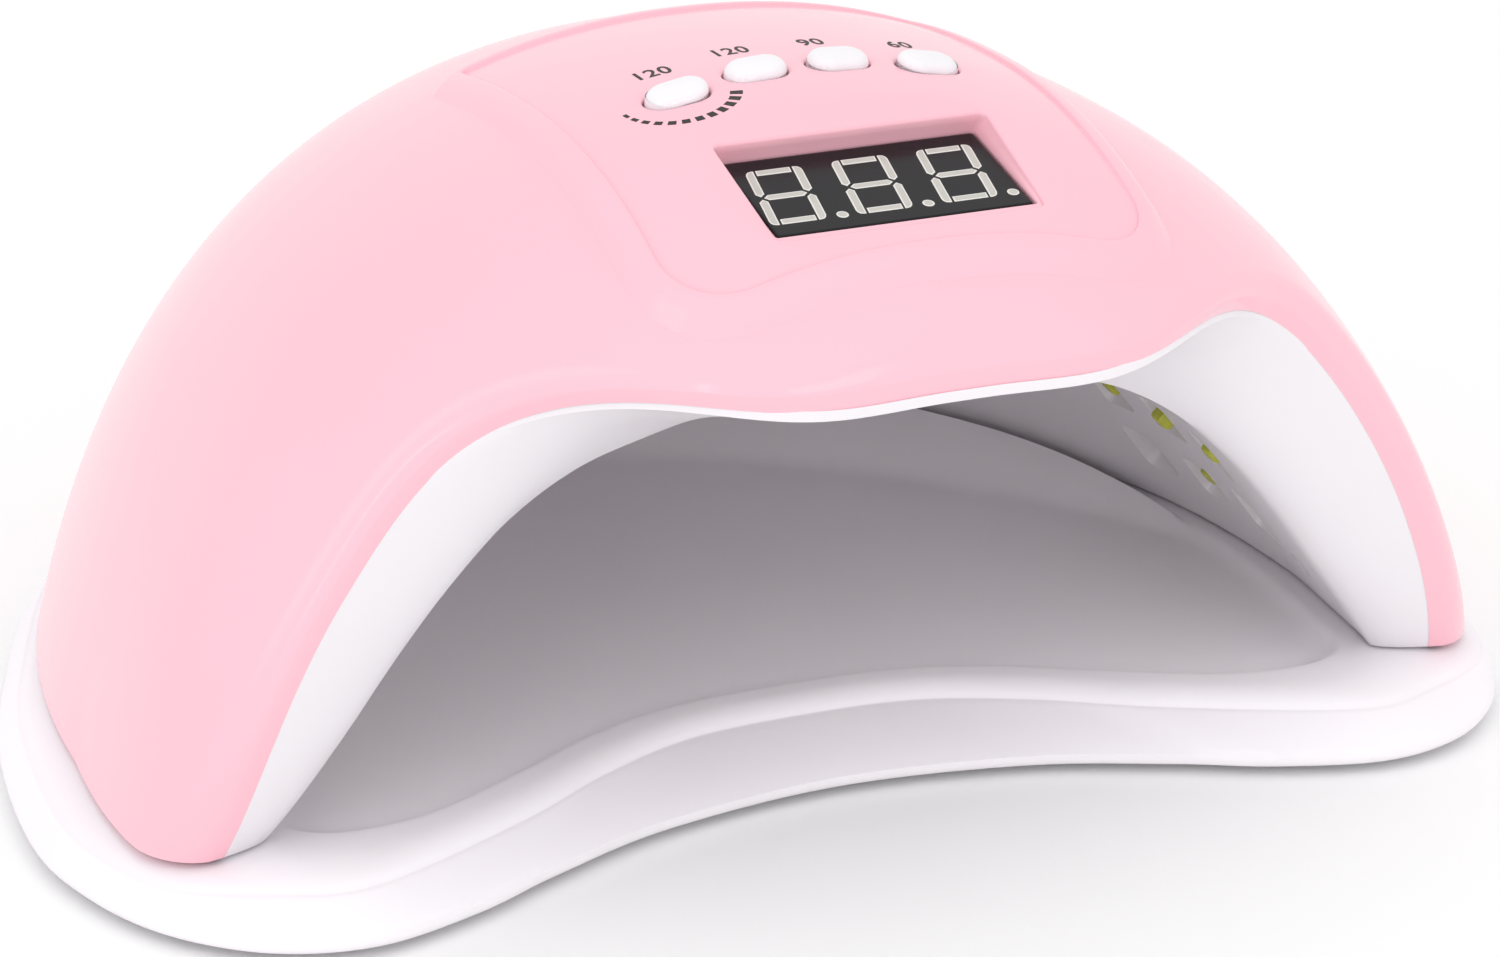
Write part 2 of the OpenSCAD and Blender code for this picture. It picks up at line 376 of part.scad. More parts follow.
// round wire along hand-set points
function spline(v, n) = [for (i = [0:len(v) - 2]) for (k = [0:n - 1]) cr(v[max(0, i - 1)], v[i], v[i + 1], v[min(len(v) - 1, i + 2)], k / n)];
module wire(v, r) {
  p = concat(spline(v, 4), [v[len(v) - 1]]); m = len(p); k = 8;
  pts = [for (j = [0:m - 1]) let(d = p[min(m - 1, j + 1)] - p[max(0, j - 1)], t = d / norm(d), a = cross(t, [0.3, 0.2, 0.93]), b = a / norm(a), c = cross(t, b))
    for (i = [0:k - 1]) p[j] + r * (cos(360 * i / k) * b + sin(360 * i / k) * c)];
  polyhedron(pts, concat([[for (i = [0:k - 1]) i]], [[for (i = [k - 1:-1:0]) (m - 1) * k + i]],
    flat([for (j = [0:m - 2]) flat([for (i = [0:k - 1]) let(a = j * k + i, b = j * k + (i + 1) % k) [[a, a + k, b], [b, a + k, b + k]]])])), convexity = 4);
}
module led_leads() color("crimson") translate([0, y_mid, 0]) {
  wire([[-20, -0.5, 83.3], [-10, 2, 79.8], [20, 8, 77], [50, 12, 66], [72, 15, 51], [78.8, 17, 39.2]], 0.9);
  wire([[-24, -0.5, 83.3], [-32, 2, 79.3], [-55, 10, 68], [-72, 15, 51], [-78.8, 17, 39.2]], 0.9);
}
module power_leads() color("black") translate([0, y_mid, 0]) for (x = [-2, 2])
  wire([[x, 127, 28.4], [x, 125.2, 33], [x, 119.5, 45], [x + 2, 105, 57], [x + 6, 84, 69.5], [x + 12, 58, 78.5], [x + 19, 30, 84], [x + 22, 2.6, 87.3]], 0.9);

base_plate();
rubber_feet();
base_keeper_discs();
top_shell();
inner_liner();
display_module();
display_segments();
button_low_heat();
button_120s();
button_90s();
button_60s();
plunger_low_heat();
plunger_120s();
plunger_90s();
plunger_60s();
tact_switches();
control_board();
mcu_chip();
electrolytic_capacitors();
power_inductor();
board_connectors();
led_board_left();
led_board_right();
led_board_roof();
led_board_rear();
uv_leds();
ir_emitter();
ir_receiver();
dc_jack();
case_screws();
board_screws();
led_board_screws();
body_magnets();
led_leads();
power_leads();
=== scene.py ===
import bpy, bmesh, math
import numpy as np
from mathutils import Vector, Matrix
from mathutils.geometry import delaunay_2d_cdt


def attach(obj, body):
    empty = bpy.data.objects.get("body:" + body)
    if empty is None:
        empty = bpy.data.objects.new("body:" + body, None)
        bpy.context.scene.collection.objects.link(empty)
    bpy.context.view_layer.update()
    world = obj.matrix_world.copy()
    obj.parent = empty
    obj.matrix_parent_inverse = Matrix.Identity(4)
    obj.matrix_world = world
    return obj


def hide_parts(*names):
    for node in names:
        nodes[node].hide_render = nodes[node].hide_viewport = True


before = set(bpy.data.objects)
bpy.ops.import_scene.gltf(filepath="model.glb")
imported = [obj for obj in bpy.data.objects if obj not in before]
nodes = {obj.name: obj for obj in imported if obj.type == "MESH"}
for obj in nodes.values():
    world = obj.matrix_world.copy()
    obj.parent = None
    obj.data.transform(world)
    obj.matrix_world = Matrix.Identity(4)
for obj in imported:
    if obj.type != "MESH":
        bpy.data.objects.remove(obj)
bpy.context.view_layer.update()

# ------------------------------------------------------------------ shape data, millimetres, display side forward
YM = -42.5
HW, TOP, FRONT, BACK, WALL = 107.7, 104.0, 106.4, 146.0, 2.2
ZB, YC, Z0, P1, P2 = 10.4, 4.0, -40.0, 2.1, 2.25
H = TOP - Z0
REACH, ROLL = 31.6, 2.6
MW, MT, CW, LW = 86.0, 64.5, 89.5, 1.8
PC, LZ, LY = 1.8, 10.4, 118.0
TILT = math.radians(11.5)
YD, ZD = -30.3, 95.3
DW, DH = 37.7, 19.9
PITCH, CAPL, CAPW, PROUD = 13.0, 9.0, 6.0, 1.7
BTN_X = [-1.46, -0.48, 0.48, 1.46]
BTN_S = [26.2, 28.7, 28.7, 26.2]
SEAT, FLOOR_T = 10.0, 3.0


def to_m(p):
    p = np.asarray(p, float)
    out = p.copy()
    out[..., 1] = out[..., 1] + YM
    return out / 1000.0


def lvl(z, e): return np.maximum(0, 1 - np.maximum(0, (z - Z0) / (H - e)) ** P2) ** (1 / P2)
def yn(y, e): return np.abs(y - YC) / np.where(y < YC, FRONT - e, BACK - e)
def flare(t, y): return 2.2 * t ** 6 * np.clip((15 - y) / 30, 0, 1)


def sec(t, s, y, e):
    n = yn(y, e)
    zt = Z0 + (H - e) * np.maximum(0, 1 - n ** P2) ** (1 / P2)
    z = ZB + (zt - ZB) * np.cos(np.pi / 2 * t)
    x = s * ((HW - e) * np.maximum(0, lvl(z, e) ** P1 - n ** P1) ** (1 / P1) + flare(t, y))
    return np.stack([x, y + 0 * x, z], -1)


def dome_z(x, y):
    v = ((np.abs(x) / HW) ** P1 + yn(y, 0) ** P1) ** (1 / P1)
    return Z0 + H * np.maximum(0, 1 - v ** P2) ** (1 / P2)


def back_y(e): return YC + (BACK - e) * float(lvl(np.array(ZB), e))
def edge_y(t): return -30.4 - REACH / (1 + (t / 0.38) ** 5) + 6 * t ** 12 + 2.4 * (1 - smooth(0.45, 0.7, t))
def lip_w(t): return 3.4 + 5 * t ** 8
def lip_e(t, q): return (ROLL - 1.7 * np.exp(-((t - 0.27) / 0.14) ** 2) + 3 * t ** 8) * (1 - np.sqrt(np.maximum(0, 1 - (1 - q) ** 2)))
def shrink(y, y1, y2, k): return np.maximum(0, 1 - (np.maximum(0, y - y1) / (y2 - y1)) ** k) ** (1 / k)


ARCH = np.array([[-10, 64.35], [0, 64.5], [10, 64.35], [20.5, 63.6], [31, 61.4], [41, 58.4], [50.5, 52.9], [59.5, 44.7], [67.5, 35.3], [74, 26.5], [80, 18.5], [86, 10.4], [92, 2.3]])


def prof(t):
    """place on the opening's half arch, 0 at the crown and 1 at the foot, as shares of its width and height"""
    k = np.minimum(9, np.floor(t * 10)).astype(int)
    q = (t * 10 - k)[..., None]
    a, b, c, d = ARCH[k], ARCH[k + 1], ARCH[k + 2], ARCH[k + 3]
    p = 0.5 * (2 * b + (c - a) * q + (2 * a - 5 * b + 4 * c - d) * q * q + (3 * b - a - 3 * c + d) * q ** 3)
    return p[..., 0] / 86, (p[..., 1] - 10.4) / 54.1


def arch(t, s, y, a, top, e):
    ux, uz = prof(t)
    x = s * (a + e) * ux
    return np.stack([x, y + 0 * x, LZ + (top + e - LZ) * uz], -1)


def smooth(a, b, v_):
    k_ = np.clip((v_ - a) / (b - a), 0, 1)
    return k_ * k_ * (3 - 2 * k_)


def mouth_y(t): return -23 + 3 * t ** 8


def chamber(t, s, y, e):
    k = np.minimum(1, (y + 22) / 30)
    a = MW + (CW - MW) * k
    f = shrink(y, 12, LY + e, 2.3)
    return arch(t, s, y, a * f, LZ + (MT + 1.5 * k - LZ) * shrink(y, 12, LY + e, 2.6), e * f)


def band(t, s, k, e):
    mid = 1 - smooth(0.38, 0.6, t)
    A = sec(t, s, edge_y(t) + 0.5 - 0.2 * mid, WALL * 0.7 + 0.35 + lip_e(t, 0) + 1.1 * mid)
    M = arch(t, s, mouth_y(t), MW, MT, e)
    C = np.stack([M[..., 0] + (A[..., 0] - M[..., 0]) * 0.12, A[..., 1] + 2 + e, M[..., 2] + (A[..., 2] - M[..., 2]) * 0.12], -1)
    g = smooth(0.3, 0.62, t)[..., None]
    C = C * g + ((A + M) / 2 + [0, 0, 1.5]) * (1 - g)
    A2 = A.copy(); A2[..., 1] += e
    return A2 * (1 - k) ** 2 + C * 2 * k * (1 - k) + M * k * k


# ------------------------------------------------------------------ mesh tools
def new_obj(name, verts, faces, mats=(), smooth=True, weld=None, sharp=None):
    me = bpy.data.meshes.new(name)
    me.from_pydata([tuple(v) for v in to_m(verts)], [], [tuple(int(i) for i in f) for f in faces])
    bm = bmesh.new(); bm.from_mesh(me)
    if weld:
        bmesh.ops.remove_doubles(bm, verts=bm.verts, dist=weld)
    bmesh.ops.dissolve_degenerate(bm, edges=bm.edges, dist=1e-7)
    bmesh.ops.recalc_face_normals(bm, faces=bm.faces)
    bm.to_mesh(me); bm.free()
    for m in mats:
        me.materials.append(m)
    ob = bpy.data.objects.new(name, me)
    bpy.context.scene.collection.objects.link(ob)
    if smooth:
        me.polygons.foreach_set("use_smooth", [True] * len(me.polygons))
        if sharp:
            me.set_sharp_from_angle(angle=math.radians(sharp))
    return ob


def skin(ro, ri, po, pi):
    ro, ri = np.asarray(ro), np.asarray(ri)
    m, n = ro.shape[:2]
    o = m * n + 1
    v = np.concatenate([ro.reshape(-1, 3), [po], ri.reshape(-1, 3), [pi]])
    f = []
    for j in range(m - 1):
        for i in range(n - 1):
            a = j * n + i
            f.append((a, a + 1, a + n + 1, a + n))
            f.append((o + a, o + a + n, o + a + n + 1, o + a + 1))
    for i in range(n - 1):
        a = (m - 1) * n + i
        f.append((a, a + 1, m * n)); f.append((o + a, o + m * n, o + a + 1))
        f.append((i, o + i, o + i + 1, i + 1))
    for j in range(m - 1):
        a = j * n
        f.append((a, a + n, o + a + n, o + a))
        b = j * n + n - 1
        f.append((b, o + b, o + b + n, b + n))
    f.append(((m - 1) * n, m * n, o + m * n, o + (m - 1) * n))
    f.append((m * n - 1, o + m * n - 1, o + m * n, m * n))
    return v, f


def ring_faces(m, n, start=0, closed=True):
    f = []
    for j in range(m - 1):
        for i in range(n if closed else n - 1):
            a, b = start + j * n + i, start + j * n + (i + 1) % n
            f.append((a, b, b + n, a + n))
    return f


def boolean(ob, cutter, op="DIFFERENCE", solver="EXACT", keep=False):
    md = ob.modifiers.new("b", "BOOLEAN")
    md.operation = op; md.object = cutter; md.solver = solver
    bpy.context.view_layer.update()
    ev = ob.evaluated_get(bpy.context.evaluated_depsgraph_get())
    me = bpy.data.meshes.new_from_object(ev)
    ob.modifiers.clear()
    old = ob.data
    ob.data = me
    bpy.data.meshes.remove(old)
    if not keep:
        bpy.data.objects.remove(cutter)
    return ob


def signed(k, n):
    u = 2 * np.arange(n + 1) / n - 1
    return np.abs(u), np.where(u < 0, -1.0, 1.0)


# ------------------------------------------------------------------ materials
def material(name, color, rough=0.4, metallic=0.0, coat=0.0, coat_rough=0.05, spec=0.5, vary=0.03, vary_scale=40.0, rough_vary=0.06,
             bump=0.0, bump_scale=2500.0, sss=0.0, sss_radius=(0.006, 0.003, 0.002), ior=1.46, tint=None, emit=None):
    m = bpy.data.materials.new(name)
    m.use_nodes = True
    nt = m.node_tree
    nt.nodes.clear()
    out = nt.nodes.new("ShaderNodeOutputMaterial")
    bs = nt.nodes.new("ShaderNodeBsdfPrincipled")
    nt.links.new(bs.outputs[0], out.inputs[0])
    tc = nt.nodes.new("ShaderNodeTexCoord")
    nz = nt.nodes.new("ShaderNodeTexNoise")
    nz.inputs["Scale"].default_value = vary_scale
    nz.inputs["Detail"].default_value = 4.0
    nt.links.new(tc.outputs["Object"], nz.inputs["Vector"])
    cr = nt.nodes.new("ShaderNodeValToRGB")
    c = np.array(color)
    d = np.array(tint if tint is not None else c * (1 - 2 * vary))
    cr.color_ramp.elements[0].position = 0.3
    cr.color_ramp.elements[1].position = 0.7
    cr.color_ramp.elements[0].color = (*d, 1)
    cr.color_ramp.elements[1].color = (*c, 1)
    nt.links.new(nz.outputs["Fac"], cr.inputs["Fac"])
    nt.links.new(cr.outputs["Color"], bs.inputs["Base Color"])
    mr = nt.nodes.new("ShaderNodeMapRange")
    nz2 = nt.nodes.new("ShaderNodeTexNoise")
    nz2.inputs["Scale"].default_value = vary_scale * 6
    nz2.inputs["Detail"].default_value = 6.0
    nt.links.new(tc.outputs["Object"], nz2.inputs["Vector"])
    nt.links.new(nz2.outputs["Fac"], mr.inputs["Value"])
    mr.inputs["From Min"].default_value = 0.25; mr.inputs["From Max"].default_value = 0.75
    mr.inputs["To Min"].default_value = max(0.0, rough - rough_vary); mr.inputs["To Max"].default_value = min(1.0, rough + rough_vary)
    nt.links.new(mr.outputs["Result"], bs.inputs["Roughness"])
    bs.inputs["Metallic"].default_value = metallic
    bs.inputs["IOR"].default_value = ior
    bs.inputs["Specular IOR Level"].default_value = spec
    bs.inputs["Coat Weight"].default_value = coat
    bs.inputs["Coat Roughness"].default_value = coat_rough
    if sss:
        bs.inputs["Subsurface Weight"].default_value = sss
        bs.inputs["Subsurface Radius"].default_value = sss_radius
        bs.inputs["Subsurface Scale"].default_value = 1.0
    if emit:
        bs.inputs["Emission Color"].default_value = (*emit[:3], 1)
        bs.inputs["Emission Strength"].default_value = emit[3]
    if bump:
        nb = nt.nodes.new("ShaderNodeTexNoise")
        nb.inputs["Scale"].default_value = bump_scale
        nb.inputs["Detail"].default_value = 3.0
        nt.links.new(tc.outputs["Object"], nb.inputs["Vector"])
        bp = nt.nodes.new("ShaderNodeBump")
        bp.inputs["Strength"].default_value = bump
        bp.inputs["Distance"].default_value = 0.0001
        nt.links.new(nb.outputs["Fac"], bp.inputs["Height"])
        nt.links.new(bp.outputs["Normal"], bs.inputs["Normal"])
    return m


M = {
    "pink": material("pink_gloss_plastic", (0.96, 0.518, 0.60), rough=0.22, coat=0.3, coat_rough=0.04, spec=0.35, vary=0.012, vary_scale=18, rough_vary=0.03, bump=0.02, bump_scale=900),
    "white": material("white_satin_plastic", (0.925, 0.89, 0.925), rough=0.42, spec=0.45, vary=0.012, vary_scale=25, rough_vary=0.05, bump=0.05, bump_scale=5000),
    "liner": material("liner_satin_plastic", (0.84, 0.808, 0.84), rough=0.36, spec=0.45, vary=0.012, vary_scale=25, rough_vary=0.05, bump=0.03, bump_scale=4000),
    "button": material("white_button_gloss", (0.86, 0.84, 0.87), rough=0.2, coat=0.4, coat_rough=0.06, vary=0.01, vary_scale=120, rough_vary=0.03, bump=0.01),
    "display": material("smoked_display_face", (0.010, 0.009, 0.011), rough=0.22, spec=0.2, vary=0.1, vary_scale=90, rough_vary=0.03),
    "bezel": material("display_housing", (0.035, 0.035, 0.04), rough=0.45, vary=0.1, vary_scale=200, bump=0.08),
    "seg_edge": material("segment_rim", (0.80, 0.78, 0.74), rough=0.35, vary=0.02, vary_scale=300),
    "seg_fill": material("segment_diffuser_fill", (0.56, 0.54, 0.50), rough=0.45, vary=0.04, vary_scale=500),
    "ink": material("black_print", (0.012, 0.011, 0.013), rough=0.5, vary=0.1, vary_scale=600),
    "rubber": material("grey_rubber_feet", (0.12, 0.12, 0.125), rough=0.8, spec=0.3, vary=0.1, vary_scale=200, bump=0.3, bump_scale=3000),
    "steel": material("plated_disc", (0.62, 0.63, 0.65), rough=0.28, metallic=1.0, vary=0.05, vary_scale=150, rough_vary=0.1),
    "screw": material("zinc_screw", (0.5, 0.5, 0.52), rough=0.35, metallic=1.0, vary=0.08, vary_scale=400, rough_vary=0.12),
    "pcb": material("green_solder_mask", (0.02, 0.13, 0.05), rough=0.35, vary=0.12, vary_scale=250, bump=0.2, bump_scale=1500),
    "wpcb": material("white_solder_mask", (0.78, 0.78, 0.76), rough=0.4, vary=0.03, vary_scale=250, bump=0.1, bump_scale=1500),
    "black": material("black_moulding", (0.02, 0.02, 0.022), rough=0.45, vary=0.15, vary_scale=200, bump=0.12),
    "cap": material("capacitor_sleeve", (0.03, 0.035, 0.07), rough=0.25, vary=0.1, vary_scale=200),
    "nylon": material("ivory_nylon", (0.75, 0.7, 0.58), rough=0.5, vary=0.03, vary_scale=300, bump=0.1),
    "switch": material("stamped_switch", (0.45, 0.45, 0.47), rough=0.35, metallic=1.0, vary=0.06, vary_scale=500),
    "phosphor": material("led_phosphor", (0.62, 0.64, 0.05), rough=0.3, vary=0.1, vary_scale=900, coat=0.4),
    "ceramic": material("led_ceramic", (0.8, 0.8, 0.78), rough=0.35, vary=0.02, vary_scale=900),
    "lens": material("dark_ir_lens", (0.10, 0.035, 0.025), rough=0.15, vary=0.2, vary_scale=400, coat=0.5),
    "red": material("red_insulation", (0.35, 0.01, 0.015), rough=0.45, vary=0.08, vary_scale=300),
    "blackwire": material("black_insulation", (0.015, 0.015, 0.015), rough=0.5, vary=0.1, vary_scale=300),
}

# ------------------------------------------------------------------ cover: dome, rolled lip
NU, NL_, NB = 240, 10, 96
t, s = signed(0, NU)


def shell_rows(e, dy):
    rows = []
    for j in range(NL_ + 1):
        q = 1 - math.cos(math.pi / 2 * j / NL_)
        rows.append(sec(t, s, edge_y(t) + dy + lip_w(t) * q, e + lip_e(t, q)))
    ya = edge_y(t) + dy + lip_w(t)
    for j in range(1, NB):
        rows.append(sec(t, s, ya + (back_y(e) - ya) * math.sin(math.pi / 2 * j / NB), e))
    return np.array(rows)


v, f = skin(shell_rows(0, 0), shell_rows(WALL, 0.5), [0, back_y(0), ZB], [0, back_y(WALL), ZB])
cover = new_obj("cover_dome", v, f, [M["pink"]])


def rr(w, y1, y2, rf, rb, n):
    out = []
    for cx, cy, r, a0 in ((w - rf, y1 + rf, rf, -90), (w - rb, y2 - rb, rb, 0), (-w + rb, y2 - rb, rb, 90), (-w + rf, y1 + rf, rf, 180)):
        for k in range(n + 1):
            a = math.radians(a0 + 90 * k / n)
            out.append((cx + r * math.cos(a), cy + r * math.sin(a)))
    return np.array(out)


def dense(p, step):
    out = []
    for i in range(len(p)):
        a, b = p[i], p[(i + 1) % len(p)]
        m = max(1, int(round(np.linalg.norm(b - a) / step)))
        out += [a + (b - a) * k / m for k in range(m)]
    return np.array(out)


_base = dense(rr(37, -48.5, 39, 12, 3, 12), 1.6)
_N = []


def frame_line(d):
    """border outline moved out by d; every outline has the same number of points"""
    w, y1, y2, rf, rb = 37 + d, -48.5 - d, 39 + d, 12 + d, 3.2 + d
    n = 12
    corners = rr(w, y1, y2, max(rf, 0.3), max(rb, 0.3), n).reshape(4, n + 1, 2)
    out = []
    counts = [54, 44, 54, 32]
    for c in range(4):
        out += list(corners[c])
        a, b = corners[c][-1], corners[(c + 1) % 4][0]
        m = counts[c]
        out += [a + (b - a) * k / m for k in range(1, m)]
    return np.array(out)


cut = new_obj("cut_panel", np.concatenate([np.c_[frame_line(-3.2), np.full(len(frame_line(0)), 60.0)], np.c_[frame_line(-3.2), np.full(len(frame_line(0)), 130.0)]]),
              ring_faces(2, len(frame_line(0))) + [tuple(range(len(frame_line(0)))), tuple(range(2 * len(frame_line(0)) - 1, len(frame_line(0)) - 1, -1))], smooth=False)
boolean(cover, cut)
jack_cut = new_obj("cut_jack", *(lambda n: (np.array([[4.2 * math.cos(2 * math.pi * i / n), y, 24 + 4.2 * math.sin(2 * math.pi * i / n)] for y in (120, 150) for i in range(n)]),
                   ring_faces(2, n) + [tuple(range(n)), tuple(range(2 * n - 1, n - 1, -1))]))(48), smooth=False)
boolean(cover, jack_cut)
cover.data.polygons.foreach_set("use_smooth", [True] * len(cover.data.polygons))
cover.data.set_sharp_from_angle(angle=math.radians(40))


# ------------------------------------------------------------------ control panel: raised border, sheet, display recess, button wells
def top_z(x, y):
    """the panel's sheet: the dome plus its thickness, flattened round the display"""
    z = dome_z(x, y) + 1.0
    plane = 93.35 + (y + 41.3) * (100.85 - 93.35) / 20.7 + 0.05
    dx = np.maximum(0, np.abs(x) - 20.0)
    lo = np.maximum(0, -41.3 - y)
    hi = np.maximum(0, y + 20.6)
    w = (1 - smooth(0, 6.5, np.hypot(dx * 0.8, lo))) * (1 - smooth(0, 5.0, hi) )
    return z - np.maximum(0, z - plane) * w


CT, ST = math.cos(TILT), math.sin(TILT)
DT = math.radians(13.5)


def face(x, s_, h):
    """place on the display's own frame"""
    x, s_, h = np.broadcast_arrays(np.asarray(x, float), s_, h)
    return np.stack([x, -29.8 + s_ * math.cos(DT) - h * math.sin(DT), 95.5 + s_ * math.sin(DT) + h * math.cos(DT)], -1)


RIM_Y1, RIM_Y2, RIM_Z1, RIM_Z2 = -41.3, -20.6, 93.35, 100.85


def board(x, s_, h):
    x, s_, h = np.broadcast_arrays(np.asarray(x, float), s_, h)
    return np.stack([x, YD + s_ * CT - h * ST, ZD + s_ * ST + h * CT], -1)


def on_surface(x, s_, rise=1.0):
    """height above the board frame of the panel surface over board place (x, s)"""
    x = np.asarray(x, float); s_ = np.asarray(s_, float)
    h = np.zeros_like(x + s_) + 3.0
    for _ in range(8):
        y = YD + s_ * CT - h * ST
        h = (top_z(x, y) - ZD - s_ * ST) / CT
    return h


def btn_h(i): return float(on_surface(np.array(BTN_X[i] * PITCH), np.array(BTN_S[i])))


def stadium(l, w, n=14):
    out = []
    r = w / 2
    for sx, a0 in ((1, -90), (-1, 90)):
        for k in range(n + 1):
            a = math.radians(a0 + 180 * k / n)
            out.append((sx * (l - w) / 2 + r * math.cos(a), r * math.sin(a)))
    out = np.array(out)
    # straight runs
    a, b = out[n], out[n + 1]
    c, d = out[-1], out[0]
    return np.concatenate([out[:n + 1], [a + (b - a) * k / 4 for k in (1, 2, 3)], out[n + 1:], [c + (d - c) * k / 4 for k in (1, 2, 3)]])


def inside(p, poly):
    x, y = p[:, 0], p[:, 1]
    r = np.zeros(len(p), bool)
    for i in range(len(poly)):
        (x1, y1), (x2, y2) = poly[i], poly[(i + 1) % len(poly)]
        c = ((y1 > y) != (y2 > y)) & (x < (x2 - x1) * (y - y1) / ((y2 - y1) if y2 != y1 else 1e-12) + x1)
        r ^= c
    return r


def fill(outer, holes, step, z):
    """triangles between an outer loop and holes, all in plan; z gives the height. Loop points keep their own heights."""
    loops = [outer] + holes
    pts = [q for l in loops for q in l]
    edges = []
    k = 0
    for l in loops:
        edges += [(k + i, k + (i + 1) % len(l)) for i in range(len(l))]
        k += len(l)
    lp = np.array([q[:2] for q in pts])
    gx = np.arange(lp[:, 0].min(), lp[:, 0].max(), step)
    gy = np.arange(lp[:, 1].min(), lp[:, 1].max(), step * 0.87)
    grid = np.array([(x + (0.5 * step if j % 2 else 0), y) for j, y in enumerate(gy) for x in gx])
    ok = inside(grid, np.array([q[:2] for q in outer]))
    for h in holes:
        ok &= ~inside(grid, np.array([q[:2] for q in h]))
    grid = grid[ok]
    d2 = ((grid[:, None, :] - lp[None, :, :]) ** 2).sum(-1).min(1)
    grid = grid[d2 > (0.6 * step) ** 2]
    p2 = np.concatenate([lp, grid])
    res = delaunay_2d_cdt([Vector((float(a), float(b))) for a, b in p2], edges, [], 0, 1e-6)
    vo = np.array([(a[0], a[1]) for a in res[0]])
    src = [o[0] if len(o) else -1 for o in res[3]]
    vz = z(vo[:, 0], vo[:, 1])
    out = np.c_[vo, vz]
    for i, o in enumerate(src):
        if 0 <= o < len(pts):
            out[i] = pts[o]
    tri = np.array([tuple(q) for q in res[2]])
    cen = vo[tri].mean(1)
    keep = inside(cen, np.array([q[:2] for q in outer]))
    for h in holes:
        keep &= ~inside(cen, np.array([q[:2] for q in h]))
    return out, tri[keep]


V, F = [], []


def add(vs, fs):
    base = sum(len(a) for a in V)
    V.append(np.asarray(vs, float))
    F.extend([tuple(base + i for i in q) for q in fs])


edge_prof = [(2.5, -2.1), (3.1, -0.9), (2.9, -0.25), (2.6, 0.02), (2.3, 0.26), (1.9, 0.6), (1.5, 0.94), (1.1, 1.22), (0.7, 1.43), (0.3, 1.55), (-0.2, 1.6), (-0.8, 1.62),
        (-1.3, 1.61), (-1.6, 1.57), (-1.8, 1.48), (-1.92, 1.34), (-1.98, 1.18), (-2.06, 1.06), (-2.2, 1.01), (-2.5, 1.0)]
rings = []
for d, h in edge_prof:
    p = frame_line(d)
    rings.append(np.c_[p, dome_z(p[:, 0], p[:, 1]) + h])
rings = np.array(rings)
add(rings.reshape(-1, 3), ring_faces(len(edge_prof), rings.shape[1]))
# display recess
REC = (0.0, RIM_Y1, RIM_Y2, 19.6, 20.3)


def recess_line(o, r=1.0, n=5):
    cx, y1, y2, w1, w2 = REC
    q = rr(1, y1 - o, y2 + o, 1e-6, 1e-6, 1).reshape(4, 2, 2)[:, 0]
    w = 19.9 + o
    rr_ = r + o
    c = rr(w, y1 - o, y2 + o, rr_, rr_, n).reshape(4, n + 1, 2)
    out = []
    for k in range(4):
        out += list(c[k])
        a, b = c[k][-1], c[(k + 1) % 4][0]
        m = [16, 28, 16, 28][k]
        out += [a + (b - a) * i / m for i in range(1, m)]
    out = np.array(out)
    ff = (out[:, 1] - y1) / (y2 - y1)
    out[:, 0] *= (w1 + (w2 - w1) * ff) / 19.9
    return out


def face_line(w, h, r=0.4, n=5, dz=0.0):
    c = rr(w / 2, -h / 2, h / 2, r, r, n).reshape(4, n + 1, 2)
    out = []
    for k in range(4):
        out += list(c[k])
        a, b = c[k][-1], c[(k + 1) % 4][0]
        m = [16, 28, 16, 28][k]
        out += [a + (b - a) * i / m for i in range(1, m)]
    out = np.array(out)
    return face(out[:, 0], out[:, 1], dz)


rec = []
for o, dz in ((0.55, 0.0), (0.34, -0.04), (0.18, -0.14), (0.06, -0.3), (0.0, -0.55)):
    p = recess_line(o)
    rec.append(np.c_[p, top_z(p[:, 0], p[:, 1]) + dz])
low1 = face_line(DW + 0.75, DH + 0.75, dz=-0.25)
# the lip never dips under the display face at the low side
k5 = rec[-1].copy()
face_plane = 95.5 + (k5[:, 1] + 29.8) * math.tan(DT)
k5[:, 2] = np.maximum(k5[:, 2], face_plane + 0.25)
rec[-1] = k5
mid = k5 * 0.5 + face_line(DW + 0.95, DH + 0.95, dz=0.35) * 0.5
rec += [mid, face_line(DW + 0.8, DH + 0.8, dz=0.12), low1, face_line(DW + 0.75, DH + 0.75, dz=-2.2)]
rec = np.array(rec)
add(rec.reshape(-1, 3), ring_faces(len(rec), rec.shape[1]))
holes_top, holes_low = [rec[0]], [rec[-1]]
for i in range(4):
    bx = BTN_X[i] * PITCH
    rs = []
    for o, dz in ((0.55, 0.0), (0.35, -0.03), (0.18, -0.12), (0.06, -0.28), (0.0, -0.5)):
        q = stadium(CAPL + 0.5 + 2 * o, CAPW + 0.5 + 2 * o)
        h = on_surface(bx + q[:, 0], BTN_S[i] + q[:, 1])
        rs.append(board(bx + q[:, 0], BTN_S[i] + q[:, 1], h + dz))
    rs.append(board(bx + q[:, 0], BTN_S[i] + q[:, 1], h - 3.3))
    rs = np.array(rs)
    add(rs.reshape(-1, 3), ring_faces(len(rs), rs.shape[1]))
    holes_top.append(rs[0]); holes_low.append(rs[-1])
vv, ff = fill(rings[-1], holes_top, 1.25, top_z)
add(vv, ff)
vv, ff = fill(rings[0], holes_low, 2.5, lambda x, y: dome_z(x, y) - 2.2)
add(vv, ff)
panel = new_obj("control_panel", np.concatenate(V), F, [M["pink"]], weld=2e-6, sharp=48)

